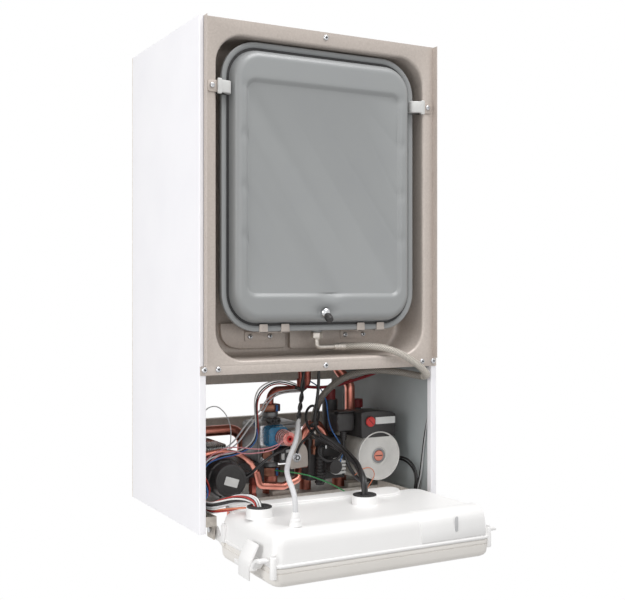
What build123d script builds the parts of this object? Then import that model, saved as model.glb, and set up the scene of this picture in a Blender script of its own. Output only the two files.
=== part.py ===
from build123d import *
import os
from math import cos, pi, radians, sin, tan

# A wall-hung combi boiler with its front panel off and its control box folded down.
# X runs to the right as seen from the front, Y runs towards the wall and Z runs up.
# The origin is midway between the two hanging slots, on the wall plane.
# Every place below is given as x, depth in front of the wall and height above the case's bottom edge.

# ---- Case ----
CASE_WIDTH = 400.0
CASE_HEIGHT = 720.0
CASE_DEPTH = 293.0
SHEET = 1.0
FRAME_SHEET = 2.0
SEAT = 0.3
FRONT_FLANGE = 10.2
FLANGE_LIP = 10.0
REAR_FLANGE = 20.0

# ---- Hanging and rear frame ----
HANGER_HEIGHT = 660.0
HANGER_SPACING = 280.0
SLOT_LENGTH = 30.0
SLOT_WIDTH = 10.0
UPRIGHT_WIDTH = 24.0
STANDOFF = 18.0
RAIL_BOTTOM = 95.0
RAIL_TOP = 121.0
FRAME_FOOT = 30.0

# ---- Sealed chamber and its cover ----
CHAMBER_SIDE_GAP = 13.0
CHAMBER_WIDTH = CASE_WIDTH - 2 * CHAMBER_SIDE_GAP
CHAMBER_BOTTOM = 221.0
CHAMBER_ROOF = CASE_HEIGHT - 3.0
BACK_SKIRT = 180.0
COVER_SIDE_GAP = 6.5
COVER_WIDTH = CASE_WIDTH - 2 * COVER_SIDE_GAP
COVER_BOTTOM = CHAMBER_BOTTOM - SHEET
COVER_LIP = 11.0
COVER_LIP_BOTTOM = COVER_BOTTOM + 13.0
COVER_BORDER = 19.5
RECESS_WIDTH = COVER_WIDTH - 2 * COVER_BORDER
RECESS_BOTTOM = COVER_BOTTOM + 20.0
RECESS_TOP = CASE_HEIGHT - 22.0
RECESS_RADIUS = 42.0
RECESS_DEPTH = 70.0
TAB_WIDTH = 12.5
SCREW_HEAD = 4.2
SCREW_HEAD_HEIGHT = 2.6
SCREW_SHANK = 2.0
SCREW_INSET = 8.0
HOLE_PLAY = 0.05

# ---- Expansion vessel ----
VESSEL_SIDE_GAP = 11.6
VESSEL_WIDTH = RECESS_WIDTH - 2 * VESSEL_SIDE_GAP
VESSEL_BOTTOM = RECESS_BOTTOM + 39.0
VESSEL_TOP = RECESS_TOP - 2.6
VESSEL_HEIGHT = VESSEL_TOP - VESSEL_BOTTOM
VESSEL_MIDDLE = (VESSEL_TOP + VESSEL_BOTTOM) / 2
VESSEL_RADIUS = 56.0
RIM_SHEET = 1.2
RIM_LIP = 7.0
NECK_INSET = 14.0
VESSEL_SHEET = 1.5
DIAPHRAGM = 2.0
RIM_DEPTH = CASE_DEPTH - 14.0
FRONT_BULGE = 16.0
FRONT_INSET = 19.4
REAR_INSET = 20.0
PAD_INSET = 36.4
PAD_BOTTOM = VESSEL_BOTTOM + 55.0
PAD_TOP = VESSEL_TOP - 60.4
PAD_CORNER = 14.0
PAD_RISE = 1.5
AIR_VALVE_HEIGHT = VESSEL_BOTTOM + 26.0
AIR_VALVE_BOSS = 7.0
AIR_VALVE_STEM = 3.5
AIR_VALVE_LENGTH = 12.0
AIR_VALVE_SEAT = 2.0
VALVE_CAP = 5.5
NIPPLE_X = 2.0
NIPPLE_DEPTH = RIM_DEPTH - 17.0
NIPPLE_END = VESSEL_BOTTOM - 2.8
NIPPLE = 8.0
NIPPLE_BORE = 4.0
BRACKET_PLACES = ((-79.5, 49.0), (84.0, 49.0))
BRACKET_DROP = 16.0
HOOK_WIDTH = 14.0
STRAP_WIDTH = 20.0
STRAP_REACH = NECK_INSET - 3.0
STRAP_HEIGHT = VESSEL_TOP - 71.4
STRAP_THICKNESS = 5.0

# ---- Combustion ----
FLUE_DEPTH = 110.0
FAN_HEIGHT = CHAMBER_ROOF - 105.0
EXCHANGER_TOP = FAN_HEIGHT - 146.0
FIREBOX_TOP = EXCHANGER_TOP - 46.0
FIREBOX_SIDE_GAP = 74.0
FIREBOX_WIDTH = CHAMBER_WIDTH - 2 * FIREBOX_SIDE_GAP
FIREBOX_BOTTOM = CHAMBER_BOTTOM + 49.0
FIREBOX_BACK = 40.0
FIREBOX_FRONT = CASE_DEPTH - RECESS_DEPTH - 23.0
INSULATION = 14.0
BURNER_BLADES = 12
BLADE_WIDTH = 6.0
BLADE_BOTTOM = FIREBOX_BOTTOM + 6.0
BURNER_RAIL = 4.0
BURNER_TOP = FIREBOX_BOTTOM + 30.0
MANIFOLD_HEIGHT = FIREBOX_BOTTOM - 12.0
MANIFOLD = 7.0
JET = 2.5
EXCHANGER_FINS = 36
EXCHANGER_TUBES = 4
EXCHANGER_TUBE = 9.0
FIN_THICKNESS = 0.8
HEADER_RISE = 13.0
HEADER_INSET = 16.0
FAN_RADIUS = 62.0
FAN_WIDTH = 60.0
FAN_SHEET = 2.0
FAN_BLADES = 16
FAN_SHAFT = 4.0
FAN_WHEEL = 50.0
FAN_MOTOR = 28.0
FAN_MOTOR_LENGTH = 45.0
FAN_OUTLET = 26.0
THROAT_WIDTH = 76.0
THROAT_LENGTH = 56.0
HOOD_SHOULDER = FAN_HEIGHT - 80.0
FLUE_SOCKET = 50.3
FLUE_WALL = 2.5
FLUE_FLANGE = 66.0
FLUE_TOP = CHAMBER_ROOF + 28.0
SWITCH_X = CHAMBER_WIDTH / 2 - 62.0
SWITCH_HEIGHT = FAN_HEIGHT + 28.0
SWITCH_RADIUS = 27.0

# ---- Pipe connections ----
TAIL_PITCH = 65.0
GAS_X = -7.0
TAIL_DEPTH = 120.0
TAIL_END = -30.0
LARGE_TAIL = 13.2
SMALL_TAIL = 10.5
TAIL_WALL = 2.2
TAIL_STEP = 6.0
PLATE_HEIGHT = 8.0
PLATE_DEPTH = 165.0

FLOW_X = GAS_X - 2 * TAIL_PITCH
TAP_X = GAS_X - TAIL_PITCH
COLD_X = GAS_X + TAIL_PITCH
RETURN_X = GAS_X + 2 * TAIL_PITCH

# ---- Water side ----
PUMP_X = RETURN_X + 15.0
PUMP_HEIGHT = 73.0
MOTOR_RADIUS = 39.5
MOTOR_FRONT = 222.0
MOTOR_FLANGE = 9.0
VOLUTE_RADIUS = 46.0
VOLUTE_BACK = 80.0
VOLUTE_FRONT = 140.0
VOLUTE_WALL = 7.0
PORT_TOP = 134.0
ROTOR_SHAFT = 5.0
ROTOR_DISC = 32.0
ROTOR_CORE = 17.0
ROTOR_GAP = 13.5
RETURN_BLOCK_TOP = 100.0
BLOCK_BOTTOM = 34.0
FLOW_BLOCK_TOP = 66.0
ACTUATOR_X = FLOW_X + 15.0
ACTUATOR_HEIGHT = 56.0
ACTUATOR_FRONT = 226.0
STEM_RADIUS = 4.0
STEM_DROP = 6.0
DIVERTER_TRAVEL = 6.0
RUNNING_PLAY = 0.05
PIPE_WALL = 1.0
MAIN_PIPE = 8.5
CORNER = 5.0
PLATES = 10
PLATE_GAP = 2.8
PLATE_SHEET = 1.6
EXCHANGER_SIZE = (70.0, 138.0)
TERMINAL_FRONT = 224.0
TERMINAL_TOP = 146.0
SPINDLE = 3.0
SPEED_KNOB = 8.0
VENT_X = 105.0
VENT_TOP = 156.0
VENT_RADIUS = 13.0
RELIEF_TOP = 136.0

# ---- Gas side ----
GAS_PIPE = 6.0
NUT_ACROSS = 29.0
VALVE_BOTTOM = 52.0
VALVE_TOP = 142.0
VALVE_BACK = 100.0
VALVE_FRONT = 168.0
VALVE_LEFT = -48.0
VALVE_RIGHT = 27.0
SOLENOID_FRONT = 194.0
COIL_X = -22.0
COIL_HEIGHT = 110.5
COIL_RADIUS = 12.8
COIL_TURNS = 5

# ---- Control box, folded down ----
HINGE_DEPTH = CASE_DEPTH - 23.0
HINGE_HEIGHT = 0.0
HINGE_PIN = 4.0
BOX_SIDE_GAP = 29.0
BOX_WIDTH = CASE_WIDTH - 2 * BOX_SIDE_GAP
BOX_LENGTH = 178.0
BOX_REAR = HINGE_DEPTH + 20.0
BOX_FRONT = BOX_REAR + BOX_LENGTH
BOX_SEAM = -10.0
BOX_TOP = 35.0
BOX_BOTTOM = -35.0
BOX_WALL = 2.5
BOX_DRAFT = 7.0
BOX_CORNER = 14.0
BASE_INSET = 2.0
LUG_WIDTH = 12.0
LUG_DEPTH = BOX_REAR + 50.0
GROMMET_DEPTH = BOX_REAR + 77.0
GROMMET_RADIUS = 18.0
GROMMET_HEIGHT = 12.0
GROMMET_WALL = 3.0
LEFT_GROMMET_X = 28.0 - BOX_WIDTH / 2
RIGHT_GROMMET_X = 22.6
GLAND_X = 45.0 - BOX_WIDTH / 2
GLAND_DEPTH = BOX_FRONT - 28.0
GLAND_STEM = 7.0
GLAND_FOOT = 8.0
GLAND_LENGTH = 18.0
ARM_WIDTH = 27.0
ARM_FRONT = CASE_DEPTH - 5.0
ARM_TOP = 22.0
EAR = 3.0
KNOB_RADIUS = 17.0
KNOB_HEIGHT = 12.0
KNOB_DEPTH = BOX_FRONT - 83.0
HEATING_KNOB_X = -60.0
WATER_KNOB_X = 0.0
GAUGE_X = 75.0
GAUGE_RADIUS = 22.0
GAUGE_RIM = 3.0
CLIP_WIDTH = 32.0
CLIP_FOOT = BOX_BOTTOM + 6.0
CLIP_SHEET = 2.4
CLIP_DEPTH = BOX_FRONT - 68.0
BOARD_WIDTH = BOX_WIDTH - 62.0
BOARD_REAR = BOX_REAR + 20.0
BOARD_FRONT = BOX_FRONT - 23.0
BOARD_THICKNESS = 1.6
BOARD_HEIGHT = BOX_SEAM + 4.0

# ---- Leads and hose ----
HOSE = 6.0
FERRULE = HOSE + 1.2
THICK_LEAD = 4.5
HARNESS_LEAD = 5.5
MAINS_LEAD = 3.6
PUMP_LEAD = 3.0
RUN_SHARE = 0.45

os.makedirs("parts", exist_ok=True)


def up(height):
    """The Z of a height above the case's bottom edge."""
    return height - HANGER_HEIGHT


def block(x, depth, height, mode=Mode.ADD):
    """A box between two values each of x, depth and height."""
    with Locations((sum(x) / 2, -sum(depth) / 2, up(sum(height) / 2))):
        Box(abs(x[1] - x[0]), abs(depth[1] - depth[0]), abs(height[1] - height[0]), mode=mode)


def upright(x, depth, height, radius, mode=Mode.ADD):
    """A cylinder standing between two heights."""
    with Locations((x, -depth, up(sum(height) / 2))):
        Cylinder(radius, height[1] - height[0], mode=mode)


def forward(x, height, depth, radius, mode=Mode.ADD):
    """A cylinder lying along the depth, between two depths."""
    with Locations(Location((x, -sum(depth) / 2, up(height)), (90, 0, 0))):
        Cylinder(radius, depth[1] - depth[0], mode=mode)


def across(depth, height, x, radius, mode=Mode.ADD):
    """A cylinder lying from left to right, between two values of x."""
    with Locations(Location((sum(x) / 2, -depth, up(height)), (0, 90, 0))):
        Cylinder(radius, x[1] - x[0], mode=mode)


def hexagon(x, depth, height, across_flats, mode=Mode.ADD):
    """A nut's hexagon standing between two heights."""
    with BuildSketch(Plane.XY.offset(up(height[0]))) as outline:
        with Locations((x, -depth)):
            RegularPolygon(across_flats / 2, 6, major_radius=False)
    extrude(outline.sketch, amount=height[1] - height[0], mode=mode)


def places(route):
    """The route's points as vectors."""
    return [Vector(x, -depth, up(height)) for x, depth, height in route]


def widest_bends(points):
    """The largest radius that each corner's two runs allow."""
    bends = []
    for before, corner, after in zip(points, points[1:], points[2:]):
        arriving = corner - before
        leaving = after - corner
        turn = radians(arriving.get_angle(leaving))
        bends.append(RUN_SHARE * min(arriving.length, leaving.length) / tan(turn / 2))
    return bends


def tube(route, radius, bends, wall=None):
    """A round tube along a route, hollow where it has a wall."""
    with BuildLine() as line:
        FilletPolyline(*places(route), radius=bends)
    with BuildSketch(Plane(origin=line.line @ 0, z_dir=line.line % 0)) as section:
        Circle(radius)
        if wall:
            Circle(radius - wall, mode=Mode.SUBTRACT)
    sweep(section.sketch, path=line.line)


def pipe(route, radius, bend):
    """A rigid pipe with one bending radius."""
    tube(route, radius, [bend] * (len(route) - 2), PIPE_WALL)


def lead(route, radius, name):
    """A lead or hose with the widest bends that its route allows."""
    bends = widest_bends(places(route))
    print(name, "radii", [round(bend, 1) for bend in bends], "diameter", 2 * radius)
    tube(route, radius, bends)


def rounded(width, height, middle, radius, mode=Mode.ADD):
    """A rounded rectangle centred on the case, in a sketch that faces forward."""
    with Locations((0, up(middle))):
        RectangleRounded(width, height, radius, mode=mode)


# ======== Case ========

for side, name in ((-1, "side_panel_left"), (1, "side_panel_right")):
    outside = side * CASE_WIDTH / 2
    flange_edge = outside - side * FRONT_FLANGE
    with BuildPart() as side_panel:
        block((outside - side * SHEET, outside), (FRAME_SHEET, CASE_DEPTH), (0, CASE_HEIGHT))
        block((flange_edge, outside), (CASE_DEPTH - SHEET, CASE_DEPTH), (0, CASE_HEIGHT))
        lip_edge = flange_edge + side * SHEET
        block((flange_edge, lip_edge), (CASE_DEPTH - FLANGE_LIP, CASE_DEPTH), (0, CASE_HEIGHT))
        rear = (FRAME_SHEET, FRAME_SHEET + SHEET)
        block((outside - side * REAR_FLANGE, outside), rear, (FRAME_FOOT, CASE_HEIGHT))
    side_panel.part.label = name
    export_step(side_panel.part, f"parts/{name}.step")

chamber_back = FRAME_SHEET + STANDOFF
channel_x = CHAMBER_WIDTH / 2 - UPRIGHT_WIDTH

with BuildPart() as rear_frame:
    block((-CASE_WIDTH / 2, CASE_WIDTH / 2), (0, FRAME_SHEET), (0, CASE_HEIGHT))
    window = CASE_WIDTH / 2 - UPRIGHT_WIDTH
    rear_window = channel_x - UPRIGHT_WIDTH / 2
    through = (-SHEET, FRAME_SHEET + SHEET)
    block((-window, window), through, (RAIL_TOP, BACK_SKIRT), Mode.SUBTRACT)
    block((-window, window), through, (FRAME_FOOT, RAIL_BOTTOM), Mode.SUBTRACT)
    block((-rear_window, rear_window), through, (CHAMBER_BOTTOM, HANGER_HEIGHT - 2 * SLOT_LENGTH), Mode.SUBTRACT)
    with BuildSketch(Plane.XZ):
        with Locations((-HANGER_SPACING / 2, 0), (HANGER_SPACING / 2, 0)):
            SlotOverall(SLOT_LENGTH, SLOT_WIDTH)
    extrude(amount=FRAME_SHEET, mode=Mode.SUBTRACT)
    for side in (-1, 1):
        web = side * (channel_x + FRAME_SHEET / 2)
        rise = (FRAME_SHEET, chamber_back)
        block((web - FRAME_SHEET / 2, web + FRAME_SHEET / 2), rise, (BACK_SKIRT, HANGER_HEIGHT - SLOT_LENGTH))
    rail_flange = (FRAME_SHEET, FRAME_SHEET + STANDOFF / 2)
    block((-window, window), rail_flange, (RAIL_TOP - FRAME_SHEET, RAIL_TOP))
rear_frame.part.label = "rear_frame"
export_step(rear_frame.part, "parts/rear_frame.step")

tails = (
    (FLOW_X, LARGE_TAIL),
    (TAP_X, SMALL_TAIL),
    (GAS_X, LARGE_TAIL),
    (COLD_X, SMALL_TAIL),
    (RETURN_X, LARGE_TAIL),
)
frame_side = CASE_WIDTH / 2 - SHEET - SEAT
arm_inside = frame_side - ARM_WIDTH
plate = (PLATE_HEIGHT, PLATE_HEIGHT + FRAME_SHEET)

with BuildPart() as bottom_frame:
    block((-frame_side, frame_side), (FRAME_SHEET, PLATE_DEPTH), plate)
    block((-frame_side, frame_side), (FRAME_SHEET, 2 * FRAME_SHEET), (PLATE_HEIGHT, FRAME_FOOT))
    front_edge = (PLATE_DEPTH - FRAME_SHEET, PLATE_DEPTH)
    edge_end = arm_inside + FRAME_SHEET
    block((-edge_end, edge_end), front_edge, (PLATE_HEIGHT, PLATE_HEIGHT + 5))
    for side in (-1, 1):
        inner = side * arm_inside
        outer = side * frame_side
        block((inner, outer), (PLATE_DEPTH, CASE_DEPTH - FLANGE_LIP - SEAT), plate)
        block((inner, inner + side * FRAME_SHEET), (PLATE_DEPTH, ARM_FRONT), (PLATE_HEIGHT, ARM_TOP))
        flange = side * (CASE_WIDTH / 2 - FRONT_FLANGE - SEAT)
        block((inner, flange), (PLATE_DEPTH, ARM_FRONT), plate)
        block((inner, flange), (ARM_FRONT - FRAME_SHEET, ARM_FRONT), (PLATE_HEIGHT, ARM_TOP))
        tongue = (HINGE_DEPTH - 3 * HINGE_PIN, HINGE_DEPTH + 3 * HINGE_PIN)
        block((inner, inner + side * FRAME_SHEET), tongue, (HINGE_HEIGHT - 3 * HINGE_PIN, PLATE_HEIGHT))
        pin_hole = sorted((inner - side, inner + side * 2 * FRAME_SHEET))
        across(HINGE_DEPTH, HINGE_HEIGHT, pin_hole, HINGE_PIN + HOLE_PLAY, Mode.SUBTRACT)
    for x, radius in tails:
        upright(x, TAIL_DEPTH, (PLATE_HEIGHT - 1, ARM_TOP), radius - 1 + SEAT, Mode.SUBTRACT)
bottom_frame.part.label = "bottom_frame"
export_step(bottom_frame.part, "parts/bottom_frame.step")

# ======== Sealed chamber ========

chamber_side = CHAMBER_WIDTH / 2
flow_header = FIREBOX_WIDTH / 2 + 11
flow_riser = (-flow_header, 110.0)
return_riser = (flow_header, 110.0)
gas_riser = (COLD_X + 4, TAIL_DEPTH)

with BuildPart() as chamber_box:
    block((-chamber_side, chamber_side), (chamber_back, CASE_DEPTH), (CHAMBER_BOTTOM, CHAMBER_ROOF))
    hollow = (CHAMBER_BOTTOM + SHEET, CHAMBER_ROOF - SHEET)
    inside = chamber_side - SHEET
    block((-inside, inside), (chamber_back + SHEET, CASE_DEPTH + SHEET), hollow, Mode.SUBTRACT)
    skirt = (chamber_back, chamber_back + SHEET)
    block((-chamber_side, chamber_side), skirt, (BACK_SKIRT, CHAMBER_BOTTOM))
    floor = (CHAMBER_BOTTOM - 1, CHAMBER_BOTTOM + 2 * SHEET)
    for x, depth in (flow_riser, return_riser):
        upright(x, depth, floor, MAIN_PIPE + SEAT, Mode.SUBTRACT)
    upright(*gas_riser, floor, GAS_PIPE + SEAT, Mode.SUBTRACT)
    roof = (CHAMBER_ROOF - 2 * SHEET, CHAMBER_ROOF + 1)
    upright(0, FLUE_DEPTH, roof, FLUE_SOCKET - SHEET, Mode.SUBTRACT)
chamber_box.part.label = "chamber_box"
export_step(chamber_box.part, "parts/chamber_box.step")

cover_front = CASE_DEPTH + SHEET
recess_floor = cover_front - RECESS_DEPTH
recess_height = RECESS_TOP - RECESS_BOTTOM
recess_middle = (RECESS_TOP + RECESS_BOTTOM) / 2
tab_x = CASE_WIDTH / 2 - SHEET - TAB_WIDTH / 2
screw_height = COVER_BOTTOM + SCREW_INSET
cover_screws_at = (
    (-tab_x, screw_height),
    (tab_x, screw_height),
    (1.1 * COVER_BORDER - COVER_WIDTH / 2, screw_height),
    (COVER_WIDTH / 2 - 1.1 * COVER_BORDER, screw_height),
    (0.0, screw_height),
    (0.0, CASE_HEIGHT - SCREW_INSET),
)

with BuildPart() as chamber_cover:
    with BuildSketch(Plane.XZ.offset(CASE_DEPTH)):
        with Locations((0, up((COVER_BOTTOM + CASE_HEIGHT) / 2))):
            Rectangle(COVER_WIDTH, CASE_HEIGHT - COVER_BOTTOM)
        with Locations((0, up((COVER_BOTTOM + COVER_LIP_BOTTOM) / 2))):
            Rectangle(2 * tab_x + TAB_WIDTH, COVER_LIP_BOTTOM - COVER_BOTTOM)
    extrude(amount=SHEET)
    with BuildSketch(Plane.XZ.offset(recess_floor)):
        rounded(RECESS_WIDTH + 2 * SHEET, recess_height + 2 * SHEET, recess_middle, RECESS_RADIUS + SHEET)
    extrude(amount=CASE_DEPTH - recess_floor)
    with BuildSketch(Plane.XZ.offset(recess_floor + SHEET)):
        rounded(RECESS_WIDTH, recess_height, recess_middle, RECESS_RADIUS)
    extrude(amount=RECESS_DEPTH, mode=Mode.SUBTRACT)
    for side in (-1, 1):
        lip = (side * (COVER_WIDTH / 2 - SHEET), side * COVER_WIDTH / 2)
        block(lip, (cover_front, cover_front + COVER_LIP), (COVER_LIP_BOTTOM, CASE_HEIGHT))
    for x, height in cover_screws_at:
        forward(x, height, (CASE_DEPTH - 1, cover_front + 1), SCREW_SHANK + HOLE_PLAY, Mode.SUBTRACT)
chamber_cover.part.label = "chamber_cover"
export_step(chamber_cover.part, "parts/chamber_cover.step")

with BuildPart() as cover_screws:
    for x, height in cover_screws_at:
        forward(x, height, (CASE_DEPTH, cover_front), SCREW_SHANK)
        forward(x, height, (cover_front, cover_front + SCREW_HEAD_HEIGHT), SCREW_HEAD)
cover_screws.part.label = "cover_screws"
export_step(cover_screws.part, "parts/cover_screws.step")

# ======== Expansion vessel ========

flange_inset = 2 * (RIM_SHEET + SEAT)
flange_width = VESSEL_WIDTH - flange_inset
flange_height = VESSEL_HEIGHT - flange_inset
front_face = RIM_DEPTH + DIAPHRAGM + FRONT_BULGE
rear_face = recess_floor + SHEET + SEAT


def dish(depth_from, depth_to, inset_from, inset_to, mode=Mode.ADD):
    """A dish lofted between two rounded outlines, each set in from the vessel's rim."""
    sections = []
    for depth, inset in ((depth_from, inset_from), (depth_to, inset_to)):
        with BuildSketch(Plane.XZ.offset(depth)) as outline:
            width = VESSEL_WIDTH - 2 * inset
            height = VESSEL_HEIGHT - 2 * inset
            rounded(width, height, VESSEL_MIDDLE, VESSEL_RADIUS - inset)
        sections.append(outline.sketch)
    loft(sections, mode=mode)


def flange_ring(depth, thickness):
    """The flat flange by which a shell is held in the rim."""
    with BuildSketch(Plane.XZ.offset(depth)) as ring:
        rounded(flange_width, flange_height, VESSEL_MIDDLE, VESSEL_RADIUS - flange_inset / 2)
        rounded(
            VESSEL_WIDTH - 2 * NECK_INSET,
            VESSEL_HEIGHT - 2 * NECK_INSET,
            VESSEL_MIDDLE,
            VESSEL_RADIUS - NECK_INSET,
            mode=Mode.SUBTRACT,
        )
    extrude(ring.sketch, amount=thickness)


joint = RIM_DEPTH + DIAPHRAGM
stack_back = RIM_DEPTH - VESSEL_SHEET
rim_front = joint + VESSEL_SHEET
stem_foot = front_face + AIR_VALVE_SEAT
stem_end = front_face + AIR_VALVE_LENGTH

with BuildPart() as vessel_front_shell:
    dish(joint, front_face, NECK_INSET - VESSEL_SHEET, FRONT_INSET)
    dish(joint, front_face - VESSEL_SHEET, NECK_INSET, FRONT_INSET + VESSEL_SHEET, Mode.SUBTRACT)
    flange_ring(joint, VESSEL_SHEET)
    with BuildSketch(Plane.XZ.offset(front_face)):
        border_width = VESSEL_WIDTH - 2 * FRONT_INSET - 2 * PAD_RISE
        border_height = VESSEL_HEIGHT - 2 * FRONT_INSET - 2 * PAD_RISE
        rounded(border_width, border_height, VESSEL_MIDDLE, VESSEL_RADIUS - FRONT_INSET - PAD_RISE)
        pad_width = VESSEL_WIDTH - 2 * PAD_INSET
        pad = (PAD_TOP + PAD_BOTTOM) / 2
        rounded(pad_width, PAD_TOP - PAD_BOTTOM, pad, PAD_CORNER, mode=Mode.SUBTRACT)
    extrude(amount=PAD_RISE)
    with BuildSketch(Plane.XZ.offset(stack_back - RIM_SHEET)):
        rounded(VESSEL_WIDTH, VESSEL_HEIGHT, VESSEL_MIDDLE, VESSEL_RADIUS)
        rounded(
            VESSEL_WIDTH - 2 * NECK_INSET,
            VESSEL_HEIGHT - 2 * NECK_INSET,
            VESSEL_MIDDLE,
            VESSEL_RADIUS - NECK_INSET,
            mode=Mode.SUBTRACT,
        )
    extrude(amount=joint + VESSEL_SHEET - stack_back + RIM_SHEET)
    with BuildSketch(Plane.XZ.offset(stack_back)):
        rounded(flange_width + 2 * SEAT, flange_height + 2 * SEAT, VESSEL_MIDDLE, VESSEL_RADIUS - RIM_SHEET)
    extrude(amount=joint - stack_back, mode=Mode.SUBTRACT)
    with BuildSketch(Plane.XZ.offset(stack_back - RIM_SHEET)):
        rounded(
            VESSEL_WIDTH - 2 * RIM_LIP,
            VESSEL_HEIGHT - 2 * RIM_LIP,
            VESSEL_MIDDLE,
            VESSEL_RADIUS - RIM_LIP,
        )
    extrude(amount=RIM_SHEET, mode=Mode.SUBTRACT)
    forward(0, AIR_VALVE_HEIGHT, (front_face, stem_foot), AIR_VALVE_BOSS)
    forward(0, AIR_VALVE_HEIGHT, (stem_foot, stem_end), AIR_VALVE_STEM)
vessel_front_shell.part.label = "vessel_front_shell"
export_step(vessel_front_shell.part, "parts/vessel_front_shell.step")

with BuildPart() as vessel_rear_shell:
    dish(RIM_DEPTH, rear_face, NECK_INSET - VESSEL_SHEET, REAR_INSET)
    upright(NIPPLE_X, NIPPLE_DEPTH, (NIPPLE_END, NIPPLE_END + 3 * NIPPLE), NIPPLE)
    dish(RIM_DEPTH, rear_face + VESSEL_SHEET, NECK_INSET, REAR_INSET + VESSEL_SHEET, Mode.SUBTRACT)
    flange_ring(RIM_DEPTH - VESSEL_SHEET, VESSEL_SHEET)
    bore = (NIPPLE_END - SHEET, NIPPLE_END + 4 * NIPPLE)
    upright(NIPPLE_X, NIPPLE_DEPTH, bore, NIPPLE_BORE, Mode.SUBTRACT)
vessel_rear_shell.part.label = "vessel_rear_shell"
export_step(vessel_rear_shell.part, "parts/vessel_rear_shell.step")

with BuildPart() as vessel_diaphragm:
    with BuildSketch(Plane.XZ.offset(RIM_DEPTH)):
        rounded(flange_width, flange_height, VESSEL_MIDDLE, VESSEL_RADIUS - flange_inset / 2)
    extrude(amount=DIAPHRAGM)
vessel_diaphragm.part.label = "vessel_diaphragm"
export_step(vessel_diaphragm.part, "parts/vessel_diaphragm.step")

with BuildPart() as vessel_valve_cap:
    forward(0, AIR_VALVE_HEIGHT, (stem_foot + SEAT, stem_end + GROMMET_WALL), VALVE_CAP)
    cap_bore = AIR_VALVE_STEM + HOLE_PLAY
    forward(0, AIR_VALVE_HEIGHT, (stem_foot, stem_end + SEAT), cap_bore, Mode.SUBTRACT)
vessel_valve_cap.part.label = "vessel_valve_cap"
export_step(vessel_valve_cap.part, "parts/vessel_valve_cap.step")

bracket_face = (rim_front + SEAT, rim_front + SEAT + 2 * SHEET)
bracket_shelf = VESSEL_BOTTOM - SEAT
bracket_wall = recess_floor + SHEET
with BuildPart() as vessel_brackets:
    for middle, width in BRACKET_PLACES:
        span = (middle - width / 2, middle + width / 2)
        block(span, (bracket_wall, bracket_face[1]), (bracket_shelf - 2 * SHEET, bracket_shelf))
        block(span, (bracket_wall, bracket_wall + 2 * SHEET), (bracket_shelf - BRACKET_DROP, bracket_shelf))
        for x in (span[0] + HOOK_WIDTH / 2, span[1] - HOOK_WIDTH / 2):
            hook = (bracket_shelf - 2 * SHEET, VESSEL_BOTTOM + HOOK_WIDTH - 3)
            block((x - HOOK_WIDTH / 2, x + HOOK_WIDTH / 2), bracket_face, hook)
vessel_brackets.part.label = "vessel_brackets"
export_step(vessel_brackets.part, "parts/vessel_brackets.step")

strap_front = cover_front + STRAP_THICKNESS
strap_span = (STRAP_HEIGHT - STRAP_WIDTH / 2, STRAP_HEIGHT + STRAP_WIDTH / 2)
with BuildPart() as strap_clips:
    for side in (-1, 1):
        inner = side * (VESSEL_WIDTH / 2 - STRAP_REACH)
        outer = side * (COVER_WIDTH / 2 - STRAP_THICKNESS)
        edge = side * (RECESS_WIDTH / 2 - 2 * SHEET)
        block((inner, edge), (rim_front + SEAT, strap_front), strap_span)
        block((inner, outer), (cover_front, strap_front), strap_span)
    fillet(strap_clips.edges().filter_by(Axis.X).group_by(Axis.Y)[0], 2.0)
strap_clips.part.label = "strap_clips"
export_step(strap_clips.part, "parts/strap_clips.step")

elbow_height = NIPPLE_END - 3 * NIPPLE + 1
ferrule_end = NIPPLE_X + 6 * NIPPLE
hose_route = [
    (ferrule_end - 1, NIPPLE_DEPTH, elbow_height),
    (60.0, NIPPLE_DEPTH + 2, elbow_height),
    (84.0, 281.0, 254.0),
    (108.0, 299.0, 252.0),
    (132.0, 306.0, 243.0),
    (154.0, 307.0, 226.0),
    (171.0, 304.0, 207.0),
    (171.0, 276.0, 205.5),
    (158.0, 246.0, 205.5),
    (134.0, 216.0, 207.0),
    (108.0, 192.0, 203.0),
    (82.0, 170.0, 186.0),
    (62.0, 155.0, 158.0),
    (COLD_X, 151.0, 126.0),
    (COLD_X, 151.0, RETURN_BLOCK_TOP),
]
with BuildPart() as expansion_hose:
    hexagon(NIPPLE_X, NIPPLE_DEPTH, (NIPPLE_END - 9, NIPPLE_END), 2.4 * NIPPLE)
    upright(NIPPLE_X, NIPPLE_DEPTH, (elbow_height - HOSE, NIPPLE_END - 5), HOSE)
    across(NIPPLE_DEPTH, elbow_height, (NIPPLE_X, ferrule_end - 2 * FERRULE + 1), HOSE)
    across(NIPPLE_DEPTH, elbow_height, (ferrule_end - 2 * FERRULE, ferrule_end), FERRULE)
    lead(hose_route, HOSE, "expansion hose")
expansion_hose.part.label = "expansion_hose"
export_step(expansion_hose.part, "parts/expansion_hose.step")

# ======== Combustion group ========

firebox_side = FIREBOX_WIDTH / 2

with BuildPart() as combustion_chamber:
    block((-firebox_side, firebox_side), (FIREBOX_BACK, FIREBOX_FRONT), (FIREBOX_BOTTOM, FIREBOX_TOP))
    inner_side = firebox_side - SHEET
    inner_depth = (FIREBOX_BACK + SHEET, FIREBOX_FRONT - SHEET)
    block((-inner_side, inner_side), inner_depth, (FIREBOX_BOTTOM - 1, FIREBOX_TOP + 1), Mode.SUBTRACT)
    for side in (-1, 1):
        web = (side * inner_side, side * firebox_side)
        block(web, (chamber_back + SHEET, FIREBOX_BACK), (FIREBOX_BOTTOM, FIREBOX_TOP))
combustion_chamber.part.label = "combustion_chamber"
export_step(combustion_chamber.part, "parts/combustion_chamber.step")

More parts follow.
